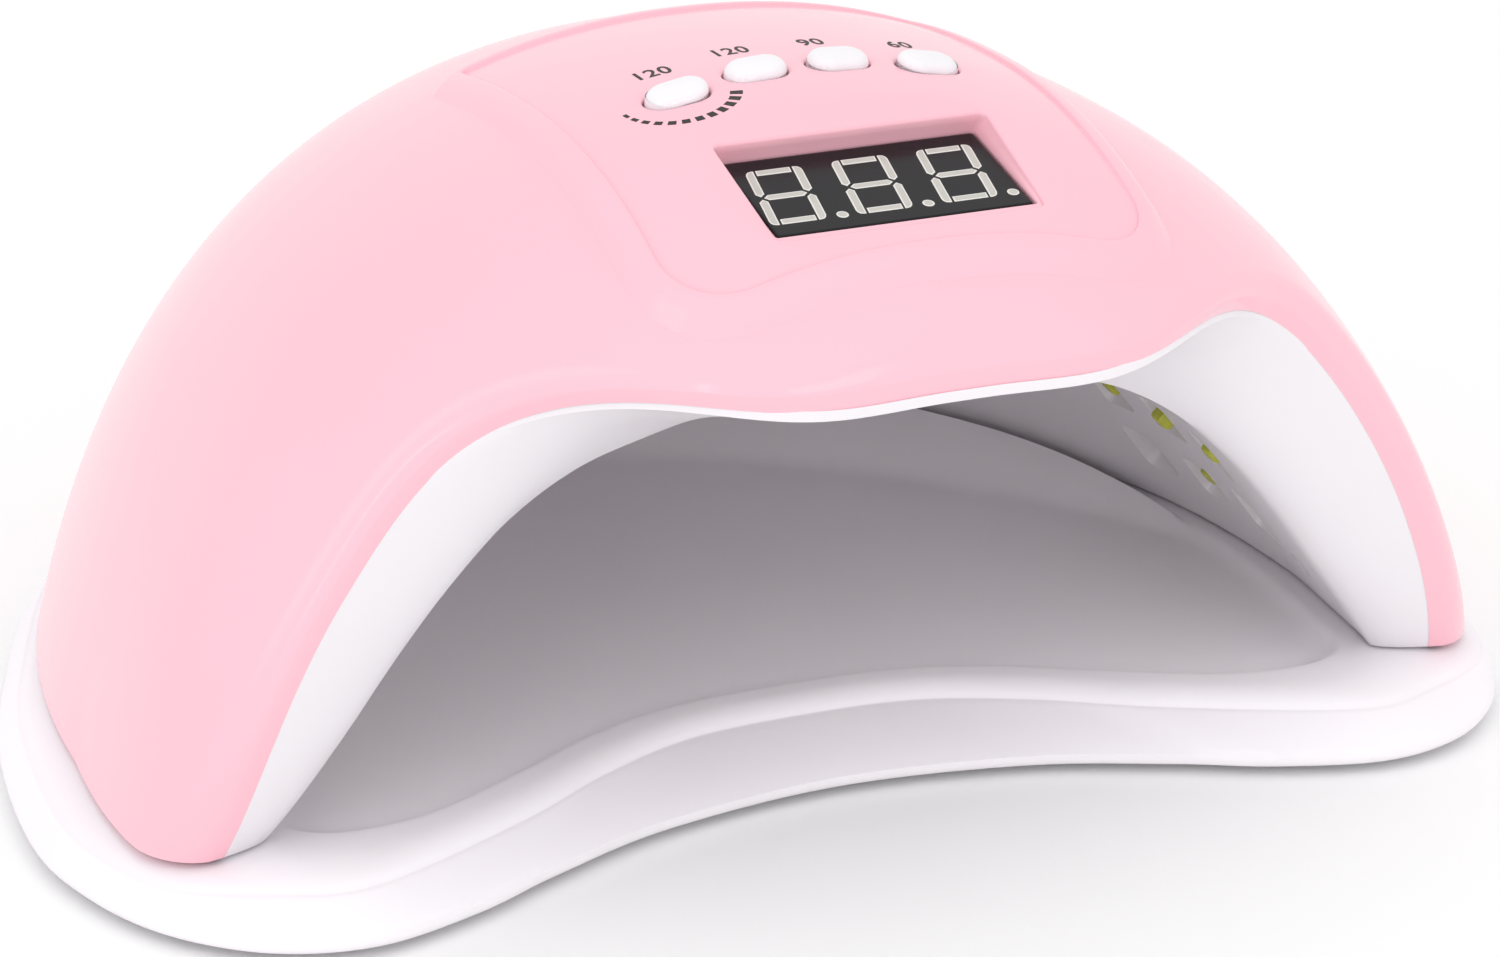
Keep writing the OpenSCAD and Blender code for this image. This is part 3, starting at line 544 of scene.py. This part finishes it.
# ------------------------------------------------------------------ buttons
names = ["low_heat", "120s", "90s", "60s"]
for i, nm in enumerate(names):
    bx, h0 = BTN_X[i] * PITCH, btn_h(i)
    lean = math.tan(math.radians(BTN_X[i] * 7.5))
    pr = [(-1.0, -5.6), (-1.0, -4.8), (0.0, -4.7), (0, -4.2), (0, 0.15)]
    R = 1.55
    for k in range(0, 11):
        a = math.pi / 2 * k / 10
        pr.append((R * (1 - math.cos(a)), PROUD - R + R * math.sin(a) - 0.16))
    for k in range(1, 7):
        pr.append((R + (CAPW / 2 - 0.02 - R) * k / 6, PROUD - 0.16 + 0.16 * (1 - (1 - k / 6) ** 2)))
    rs = []
    for off, h in pr:
        q = stadium(CAPL - 2 * off, max(CAPW - 2 * off, 0.04))
        tilt_on = 1.0 if h > 0.1 else 0.0
        rs.append(board(bx + q[:, 0], BTN_S[i] + q[:, 1], h0 + h - tilt_on * q[:, 0] * lean))
    rs = np.array(rs)
    n = rs.shape[1]
    fs = ring_faces(len(rs), n) + [tuple(range(n)), tuple(range(len(rs) * n - 1, (len(rs) - 1) * n - 1, -1))]
    cap = new_obj("key_cap_" + nm, rs.reshape(-1, 3), fs, [M["button"]], weld=3e-6, sharp=60)
    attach(cap, "press_" + nm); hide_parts("button_" + nm)

# ------------------------------------------------------------------ display
fc = [face_line(DW + o, DH + o, r=0.35, dz=z) for o, z in ((0, -8), (0, -0.3), (-0.12, -0.1), (-0.4, 0.0), (-1.0, 0.0))]
fc = np.array(fc); n = fc.shape[1]
disp = new_obj("display_block", fc.reshape(-1, 3), ring_faces(5, n) + [tuple(range(n)), tuple(range(5 * n - 1, 4 * n - 1, -1))], [M["display"]], sharp=50)
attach(disp, "lamp_body"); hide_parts("display_module")

SK = 0.14


def inset(p, d):
    c = p.mean(0)
    n = len(p)
    out = []
    area = 0.5 * sum(p[i][0] * p[(i + 1) % n][1] - p[(i + 1) % n][0] * p[i][1] for i in range(n))
    sg = 1 if area > 0 else -1
    for i in range(n):
        a, b, c_ = p[i - 1], p[i], p[(i + 1) % n]
        e1, e2 = (b - a) / np.linalg.norm(b - a), (c_ - b) / np.linalg.norm(c_ - b)
        n1, n2 = sg * np.array([-e1[1], e1[0]]), sg * np.array([-e2[1], e2[0]])
        m = n1 + n2
        out.append(b + m * d / (m @ m) * 2)
    return np.array(out)


ev, ef, iv, if_ = [], [], [], []


def tile(p, h0, h1, bev, vs, fs):
    """bevelled tile on the display face"""
    k = sum(len(a) for a in vs)
    n = len(p)
    q = inset(p, bev)
    rs = [face(p[:, 0], p[:, 1], h0), face(p[:, 0], p[:, 1], h1 - bev * 0.6), face(q[:, 0], q[:, 1], h1)]
    vs.append(np.concatenate(rs))
    for f_ in ring_faces(3, n) + [tuple(range(n)), tuple(range(3 * n - 1, 2 * n - 1, -1))]:
        fs.append(tuple(k + i for i in f_))


for g in (-1, 0, 1):
    ox = g * 12.65 - 0.8
    segs = [[(-2.55, 5.7), (2.5, 5.7), (2.5, 7.0), (-2.55, 7.0)], [(-2.5, -7.0), (2.55, -7.0), (2.55, -5.7), (-2.5, -5.7)],
            [(-3.15, 0), (-2.5, 0.65), (2.5, 0.65), (3.15, 0), (2.5, -0.65), (-2.5, -0.65)]]
    up = [(2.85, 1.0), (3.5, 0.35), (4.15, 1.0), (4.15, 5.9), (4.02, 6.45), (3.7, 6.85), (3.2, 7.0), (2.85, 7.0)]
    for sx, sy in ((1, 1), (-1, 1), (1, -1), (-1, -1)):
        segs.append([(sx * a, sy * b) for a, b in (up if sx * sy > 0 else up[::-1])])
    for sh in segs:
        p = np.array(sh, float)
        p[:, 0] += SK * p[:, 1] + ox
        tile(p, -0.1, 0.06, 0.05, ev, ef)
        q = inset(p, 0.2)
        tile(q, 0.0, 0.085, 0.03, iv, if_)
    n = 20
    p = np.array([(ox + 5.5 + 0.85 * math.cos(2 * math.pi * k / n), -6.5 + 0.85 * math.sin(2 * math.pi * k / n)) for k in range(n)])
    tile(p, -0.1, 0.06, 0.05, ev, ef)
    tile(inset(p, 0.22), 0.0, 0.085, 0.03, iv, if_)
seg = new_obj("segment_rims", np.concatenate(ev), ef, [M["seg_edge"]], smooth=False)
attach(seg, "lamp_body"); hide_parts("display_segments")
segf = new_obj("segment_fills", np.concatenate(iv), if_, [M["seg_fill"]], smooth=False)
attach(segf, "lamp_body")


# ------------------------------------------------------------------ printed marks
def printed(name, verts, faces):
    ob = new_obj(name, verts, faces, [M["ink"]], smooth=False)
    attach(ob, "lamp_body")
    return ob


def strip(points, width, name):
    """short inked stroke along board places, laid on the panel"""
    p = np.array(points, float)
    d = np.gradient(p, axis=0)
    d /= np.linalg.norm(d, axis=1)[:, None]
    nrm = np.c_[-d[:, 1], d[:, 0]] * width / 2
    loops = []
    for h in (0.005, 0.035):
        for sg in (1, -1):
            q = p + sg * nrm
            loops.append(board(q[:, 0], q[:, 1], on_surface(q[:, 0], q[:, 1]) + h))
    n = len(p)
    vs = np.concatenate(loops)
    fs = []
    for i in range(n - 1):
        fs += [(2 * n + i, 2 * n + i + 1, 3 * n + i + 1, 3 * n + i), (i, n + i, n + i + 1, i + 1), (i, i + 1, 2 * n + i + 1, 2 * n + i), (n + i, 3 * n + i, 3 * n + i + 1, n + i + 1)]
    fs += [(0, 2 * n, 3 * n, n), (n - 1, 2 * n - 1, 4 * n - 1, 3 * n - 1)]
    return vs, fs


pv, pf = [], []
for k in range(12):
    a0 = math.radians(-176 + k * 13.6)
    seq = [a0 + math.radians(8.2) * j / 4 for j in range(5)]
    pts = [(BTN_X[0] * PITCH + 8.0 * math.cos(a), BTN_S[0] - 0.3 + 8.0 * math.sin(a)) for a in seq]
    vs, fs = strip(pts, 0.55 + 0.11 * k, "")
    o = sum(len(a) for a in pv)
    pv.append(vs); pf += [tuple(o + i for i in q) for q in fs]
printed("low_heat_arc", np.concatenate(pv), pf)
for i, tx in enumerate(["120", "120", "90", "60"]):
    cu = bpy.data.curves.new("t", "FONT")
    cu.body = tx
    cu.size = 3.3
    cu.align_x = "CENTER"; cu.align_y = "CENTER"
    cu.space_character = 1.08
    cu.offset = 0.055
    cu.extrude = 0.015
    cu.resolution_u = 6
    to = bpy.data.objects.new("t", cu)
    bpy.context.scene.collection.objects.link(to)
    bpy.context.view_layer.update()
    me = bpy.data.meshes.new_from_object(to.evaluated_get(bpy.context.evaluated_depsgraph_get()))
    co = np.array([v_.co[:] for v_ in me.vertices])
    fs = [tuple(q.vertices) for q in me.polygons]
    cx = BTN_X[i] * PITCH
    x, s_ = co[:, 0] * 1.1 + cx + 0.5, co[:, 1] * 1.35 + BTN_S[i] + 10.2
    vs = board(x, s_, on_surface(x, s_) + 0.02 + co[:, 2])
    printed("time_mark_" + names[i], vs, fs)
    bpy.data.objects.remove(to); bpy.data.curves.remove(cu); bpy.data.meshes.remove(me)

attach(cover, "lamp_body"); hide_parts("top_shell")
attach(panel, "lamp_body")

# ------------------------------------------------------------------ liner: white band round the mouth, chamber, lamp cups
tl, sl = signed(0, 176)


def liner_rows(e, kk=14, m=56):
    rows = [band(tl, sl, k / kk, e) for k in range(kk + 1)]
    # upright front edge of the liner, seen as a thin white line under the visor
    mid = (1 - smooth(0.38, 0.6, tl))[:, None]
    rows.insert(0, rows[0] + np.array([0, 0, 1.5 if e == 0 else 0.4]) * mid)
    ya = mouth_y(tl)
    for j in range(1, m):
        y = ya + (LY + e - ya) * math.sin(math.pi / 2 * j / m)
        rows.append(chamber(tl, sl, y, e))
    return np.array(rows)


v, f = skin(liner_rows(LW), liner_rows(0), [0, LY + LW, LZ], [0, LY, LZ])
liner = new_obj("liner_chamber", v, f, [M["liner"]])
SIDE_ORG, SIDE_ROT = np.array([78.6, 18, 33.5]), math.radians(228.5)
ROOF_ORG, REAR_ORG, REAR_ROT = np.array([0, 20, 70.2]), np.array([0, 112.4, 45.6]), math.radians(131.3)
LED_SIDE = [[7, 17], [7, 0], [7, -16], [-8, 19], [-8, 2], [-8, -14]]
LED_ROOF = [(x, y) for y in (-18, 2, 22) for x in (-14, 0, 14)]
LED_REAR = [(x, 0) for x in (-18, -6, 6, 18)]
IR = (-13, -24)


def side_pt(sg):
    def fn(p):
        p = np.asarray(p, float)
        x = p[:, 0] * math.cos(SIDE_ROT) + p[:, 2] * math.sin(SIDE_ROT)
        z = -p[:, 0] * math.sin(SIDE_ROT) + p[:, 2] * math.cos(SIDE_ROT)
        q = np.c_[x, p[:, 1], z] + SIDE_ORG
        q[:, 0] *= sg
        return q
    return fn


def roof_pt(p):
    p = np.asarray(p, float)
    return np.c_[p[:, 0], -p[:, 1], -p[:, 2]] + ROOF_ORG


def rear_pt(p):
    p = np.asarray(p, float)
    c, s2 = math.cos(REAR_ROT), math.sin(REAR_ROT)
    return np.c_[p[:, 0], p[:, 1] * c - p[:, 2] * s2, p[:, 1] * s2 + p[:, 2] * c] + REAR_ORG


places = [(side_pt(sg), x, y) for sg in (-1, 1) for x, y in LED_SIDE] + [(roof_pt, x, y) for x, y in LED_ROOF] + [(rear_pt, x, y) for x, y in LED_REAR]


def frusta(grow, z0, z1, slope, r0, who, n=4):
    vs, fs = [], []
    for fn, x, y in who:
        k = sum(len(a) for a in vs)
        sq = rr(1, -1, 1, 0.28, 0.28, n)
        a, b = r0 + grow, r0 + grow + slope * (z1 - z0)
        lo = np.c_[x + sq[:, 0] * a, y + sq[:, 1] * a, np.full(len(sq), z0)]
        hi = np.c_[x + sq[:, 0] * b, y + sq[:, 1] * b, np.full(len(sq), z1)]
        vs.append(fn(np.concatenate([lo, hi])))
        m = len(sq)
        for f_ in ring_faces(2, m) + [tuple(range(m)), tuple(range(2 * m - 1, m - 1, -1))]:
            fs.append(tuple(k + i for i in f_))
    return np.concatenate(vs), fs


holes = new_obj("cut_led", *frusta(0, 0.02, 14, 0.30, 2.6, places), smooth=False)
boolean(liner, holes)


def tube(fn, x, y, r, z0, z1, n=28):
    a = np.linspace(0, 2 * math.pi, n, endpoint=False)
    p = [np.c_[x + r * np.cos(a), y + r * np.sin(a), np.full(n, z)] for z in (z0, z1)]
    return fn(np.concatenate(p)), ring_faces(2, n) + [tuple(range(n)), tuple(range(2 * n - 1, n - 1, -1))]


for sg in (-1, 1):
    c = new_obj("cut_ir", *tube(side_pt(sg), IR[0], IR[1], 2.2, 0, 14), smooth=False)
    boolean(liner, c)
liner.data.polygons.foreach_set("use_smooth", [True] * len(liner.data.polygons))
liner.data.set_sharp_from_angle(angle=math.radians(32))
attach(liner, "lamp_body"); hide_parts("inner_liner")

# the reflector cups behind the windows
NV = 120
tv, sv = signed(0, NV)
rows = [chamber(tv, sv, mouth_y(tv) + (LY + 0.9 - mouth_y(tv)) * math.sin(math.pi / 2 * j / 44), 0.9) for j in range(0, 44)]
rows = np.array(rows); m_, n_ = rows.shape[:2]
vv = np.concatenate([rows.reshape(-1, 3), [[0, LY + 0.9, LZ]]])
ff = []
for j in range(m_ - 1):
    for i in range(n_ - 1):
        a = j * n_ + i
        ff.append((a, a + 1, a + n_ + 1, a + n_))
for i in range(n_ - 1):
    ff.append(((m_ - 1) * n_ + i, (m_ - 1) * n_ + i + 1, m_ * n_))
ff.append(tuple(range(n_ - 1, -1, -1)))
ff.append(tuple([j * n_ for j in range(m_)] + [m_ * n_] + [j * n_ + n_ - 1 for j in range(m_ - 1, -1, -1)]))
vol = new_obj("cut_volume", vv, ff, smooth=False)
cups = new_obj("reflector_cups", *frusta(0.9, 0.0, 12.5, 0.30, 2.6, places), [M["liner"]], smooth=False)
boolean(cups, vol)
holes = new_obj("cut_led2", *frusta(0, -0.5, 14, 0.30, 2.45, places), smooth=False)
boolean(cups, holes)
cups.data.polygons.foreach_set("use_smooth", [True] * len(cups.data.polygons))
cups.data.set_sharp_from_angle(angle=math.radians(30))
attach(cups, "lamp_body")

# flange under the liner that carries the screws
n = 96
tt = np.arange(n + 1) / n
yo = -15 + (back_y(WALL + 1) + 14.9) * np.sin(np.pi / 2 * tt)
po = sec(np.ones(n + 1), 1.0, yo, WALL + 1)[:, :2]
pi_ = chamber(np.ones(n + 1), 1.0, -15 + (LY + 15.5) * np.sin(np.pi / 2 * tt), 0.9)[:, :2]
loop = np.concatenate([po, po[::-1][1:] * [-1, 1]])
loopi = np.concatenate([pi_, pi_[::-1][1:] * [-1, 1]])
k = len(loop)
fv = np.concatenate([np.c_[loop, np.full(k, 10.4)], np.c_[loopi, np.full(k, 10.4)], np.c_[loopi, np.full(k, 12.4)], np.c_[loop, np.full(k, 12.4)]])
fs = []
for j in range(4):
    for i in range(k - 1):
        a, b = j * k + i, ((j + 1) % 4) * k + i
        fs.append((a, a + 1, b + 1, b))
fs += [(0, k, 2 * k, 3 * k), (k - 1, 4 * k - 1, 3 * k - 1, 2 * k - 1)]
flange = new_obj("liner_flange", fv, fs, [M["liner"]], smooth=False)
for px, py in ((96.4, 18), (-96.4, 18), (66, 99), (-66, 99)):
    a = np.linspace(0, 2 * math.pi, 32, endpoint=False)
    vs = np.concatenate([np.c_[px + r * np.cos(a), py + r * np.sin(a), np.full(32, z)] for r, z in ((2.5, 9), (2.5, 11.4), (1.6, 11.4), (1.6, 14))])
    c = new_obj("cut_screw", vs, ring_faces(4, 32) + [tuple(range(32)), tuple(range(127, 95, -1))], smooth=False)
    boolean(flange, c)
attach(flange, "lamp_body")

# ------------------------------------------------------------------ LEDs
def lumps(who, r, z0, z1, bev, n=5):
    vs, fs = [], []
    for fn, x, y in who:
        k = sum(len(a) for a in vs)
        sq = rr(1, -1, 1, 0.2, 0.2, n)
        m = len(sq)
        rs = [(r, z0), (r, z1 - bev), (r - bev * 0.3, z1 - bev * 0.3), (r - bev, z1)]
        vs.append(fn(np.concatenate([np.c_[x + sq[:, 0] * a, y + sq[:, 1] * a, np.full(m, z)] for a, z in rs])))
        for f_ in ring_faces(4, m) + [tuple(range(m)), tuple(range(4 * m - 1, 3 * m - 1, -1))]:
            fs.append(tuple(k + i for i in f_))
    return np.concatenate(vs), fs


led = new_obj("led_packages", *lumps(places, 1.8, 0.0, 1.2, 0.15), [M["ceramic"]], sharp=40)
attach(led, "lamp_body"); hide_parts("uv_leds")
die = new_obj("led_lenses", *lumps(places, 1.45, 1.1, 5.6, 0.6), [M["phosphor"]], sharp=60)
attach(die, "lamp_body")

# ------------------------------------------------------------------ base plate
BASE = [[0, -18.5], [28, -22.5], [48, -30.5], [62, -37.5], [78, -42], [92, -38.5], [103, -28], [109.5, -13], [112, 6], [108, 37], [100, 63], [88.5, 91], [71, 119], [47, 139], [20, 147], [0, 148]]
CREASE = [[0, -5], [18, -6.5], [34, -13.5], [50, -23.5], [76, -35.4], [90, -32.5], [102, -25.5], [107.5, -13], [109, 4], [105, 36], [97, 61.5], [85.5, 89.5], [68.5, 116], [45, 135.5], [19, 143.5], [0, 144.5]]
BANK = [[0, 2], [17, 1], [32, -4], [46, -12], [62, -20], [75, -21.5], [82, -17], [83.8, -8], [85.2, 4], [86.2, 28], [81.9, 52], [71.5, 74.6], [54.6, 95.7], [35.9, 108.7], [15.7, 114], [0, 115]]


def loop_pts(h, n):
    w = [np.array(p, float) for p in h] + [np.array([-p[0], p[1]], float) for p in h[-2:0:-1]]
    m = len(w)
    out = []
    for i in range(m):
        a, b, c, d = w[(i - 1) % m], w[i], w[(i + 1) % m], w[(i + 2) % m]
        for k in range(n):
            q = k / n
            out.append(0.5 * (2 * b + (c - a) * q + (2 * a - 5 * b + 4 * c - d) * q * q + (3 * b - a - 3 * c + d) * q ** 3))
    return np.array(out)


NS = 10
bo, co_, ko = loop_pts(BASE, NS), loop_pts(CREASE, NS), loop_pts(BANK, NS)
FC = np.array([0, 45.0])


def ramp(x, y):
    r = (np.abs(x) / 86) ** 1.5 + (np.maximum(0, y - 22) / 86) ** 1.5
    return np.where(y < 16, 0, np.maximum(0, r ** 0.667 - 1) * 40 * smooth(16, 40, y))


def floor_z(x, y): return 8.6 + ramp(x, y)
def at(o, k_, z): q = FC + (o - FC) * k_; return np.c_[q, np.full(len(q), float(z))]
def lay(o, k_, dz): q = FC + (o - FC) * k_; return np.c_[q, floor_z(q[:, 0], q[:, 1]) + dz]
def mixo(a, b, k_, z): q = a * (1 - k_) + b * k_; return np.c_[q, np.full(len(q), float(z))]


R_ = [at(ko, 0.3, 8.6 - FLOOR_T), lay(ko, 0.6, -FLOOR_T), lay(ko, 0.8, -FLOOR_T), lay(ko, 0.94, -FLOOR_T), at(ko, 0.955, 1.75), at(ko, 0.965, 1.6), at(bo, 0.975, 1.6),
      at(bo, 0.985, 1.62), at(bo, 0.992, 1.75), at(bo, 0.997, 2.1), at(bo, 1, 2.7), at(bo, 1, 3.4)]
for q, z in ((0.12, 4.2), (0.3, 5.15), (0.5, 6.05), (0.7, 6.85), (0.86, 7.45), (0.93, 7.66), (0.97, 7.72), (1.0, 7.74)):
    R_.append(mixo(bo, co_, q, z))
for q, z in ((0.018, 7.86), (0.05, 8.3), (0.1, 8.72), (0.17, 9.12), (0.25, 9.45), (0.35, 9.72), (0.45, 9.88), (0.55, 9.96), (0.7, 10.0), (0.85, 10.0), (0.955, 10.0), (0.975, 9.96)):
    R_.append(mixo(co_, ko, q, z))
R_.append(np.c_[ko, np.maximum(9.8, floor_z(ko[:, 0], ko[:, 1]) - 0.4)])
for kk, c0 in ((0.996, 9.62), (0.99, 9.35), (0.982, 9.05), (0.972, 8.8), (0.96, 8.65)):
    q = FC + (ko - FC) * kk
    fz = floor_z(q[:, 0], q[:, 1])
    R_.append(np.c_[q, np.maximum(fz, np.minimum(c0, fz + (c0 - 8.6)))])
for kk in (0.945, 0.92, 0.89, 0.86, 0.83, 0.8, 0.77, 0.74, 0.7, 0.65, 0.6, 0.54, 0.46, 0.38, 0.3):
    R_.append(lay(ko, kk, 0))
R_ = np.array(R_)
n = R_.shape[1]
base = new_obj("base_tray", R_.reshape(-1, 3), ring_faces(len(R_), n) + [tuple(range(n)), tuple(range(len(R_) * n - 1, (len(R_) - 1) * n - 1, -1))], [M["white"]], sharp=50)
for px, py in ((95.4, 0), (-95.4, 0), (84.5, 70), (-84.5, 70)):
    a = np.linspace(0, 2 * math.pi, 40, endpoint=False)
    vs = np.concatenate([np.c_[px + 3.3 * np.cos(a), py + 3.3 * np.sin(a), np.full(40, z)] for z in (6, 12)])
    c = new_obj("cut_mag", vs, ring_faces(2, 40) + [tuple(range(40)), tuple(range(79, 39, -1))], smooth=False)
    boolean(base, c)
base.data.polygons.foreach_set("use_smooth", [True] * len(base.data.polygons))
base.data.set_sharp_from_angle(angle=math.radians(50))
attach(base, "base"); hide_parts("base_plate")

# feet with a rounded edge and a shallow ring
fv, fs = [], []
for px, py in ((82, -24), (-82, -24), (88, 60), (-88, 60), (38, 124), (-38, 124)):
    a = np.linspace(0, 2 * math.pi, 48, endpoint=False)
    k = sum(len(q) for q in fv)
    pr = [(6.0, 1.6), (6.0, 1.0), (5.85, 0.45), (5.5, 0.12), (5.0, 0.0), (4.0, 0.0), (3.7, 0.25), (3.3, 0.25), (3.0, 0.0)]
    fv.append(np.concatenate([np.c_[px + r * np.cos(a), py + r * np.sin(a), np.full(48, z)] for r, z in pr]))
    for f_ in ring_faces(len(pr), 48) + [tuple(range(48)), tuple(range(len(pr) * 48 - 1, (len(pr) - 1) * 48 - 1, -1))]:
        fs.append(tuple(k + i for i in f_))
feet = new_obj("foot_pads", np.concatenate(fv), fs, [M["rubber"]], sharp=40)
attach(feet, "base"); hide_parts("rubber_feet")

# ------------------------------------------------------------------ materials on the parts that stay
keep = {"base_keeper_discs": "steel", "body_magnets": "steel", "plunger_low_heat": "black", "plunger_120s": "black", "plunger_90s": "black", "plunger_60s": "black",
        "tact_switches": "switch", "control_board": "pcb", "mcu_chip": "black", "electrolytic_capacitors": "cap", "power_inductor": "black", "board_connectors": "nylon",
        "led_board_left": "wpcb", "led_board_right": "wpcb", "led_board_roof": "wpcb", "led_board_rear": "wpcb", "ir_emitter": "lens", "ir_receiver": "lens", "dc_jack": "black",
        "case_screws": "screw", "board_screws": "screw", "led_board_screws": "screw", "led_leads": "red", "power_leads": "blackwire"}
for nm, mt in keep.items():
    ob = nodes[nm]
    ob.data.materials.clear()
    ob.data.materials.append(M[mt])

# ------------------------------------------------------------------ floor, light, camera
fl = bpy.data.meshes.new("floor")
fl.from_pydata([(-6, -6, 0), (6, -6, 0), (6, 6, 0), (-6, 6, 0)], [], [(0, 1, 2, 3)])
floor = bpy.data.objects.new("floor", fl)
bpy.context.scene.collection.objects.link(floor)
fl.materials.append(material("pale_floor", (0.96, 0.96, 0.96), rough=0.7, spec=0.2, vary=0.005, vary_scale=3, rough_vary=0.02))

w = bpy.data.worlds.new("w"); bpy.context.scene.world = w
w.use_nodes = True
bg = w.node_tree.nodes["Background"]
bg.inputs[0].default_value = (1.0, 1.0, 1.0, 1)
bg.inputs[1].default_value = 0.98
bpy.context.scene.view_settings.view_transform = "Standard"


def area(name, loc, aim, size, power, color=(1, 1, 1), size_y=None):
    l = bpy.data.lights.new(name, "AREA")
    l.shape = "RECTANGLE"; l.size = size; l.size_y = size_y or size
    l.energy = power; l.color = color
    o = bpy.data.objects.new(name, l)
    o.location = loc
    d_ = Vector(aim) - Vector(loc)
    o.rotation_euler = d_.to_track_quat("-Z", "Y").to_euler()
    bpy.context.scene.collection.objects.link(o)
    return o


area("key_top", (-0.1, -0.5, 1.3), (0, 0, 0.05), 1.2, 1.2)
area("soft_left", (-1.1, -0.35, 0.75), (0, 0, 0.05), 0.5, 1.6, size_y=1.2)
area("low_front", (0.05, -0.8, 0.36), (0, 0.0, 0.02), 0.34, 0.5, size_y=0.3)
area("edge_strip", (-0.75, -0.95, 0.42), (-0.05, -0.05, 0.05), 0.07, 0.9, size_y=1.1)

cam = bpy.data.cameras.new("cam")
cam.lens = 122.195; cam.sensor_width = 36.0; cam.sensor_fit = "HORIZONTAL"
cam.clip_start = 0.01; cam.clip_end = 50
co = bpy.data.objects.new("cam", cam)
co.location = (-0.27650, -0.66801, 0.30012)
dirv = Vector((0.37174, 0.85891, -0.35225))
co.rotation_euler = dirv.to_track_quat("-Z", "Y").to_euler()
bpy.context.scene.collection.objects.link(co)
bpy.context.scene.camera = co
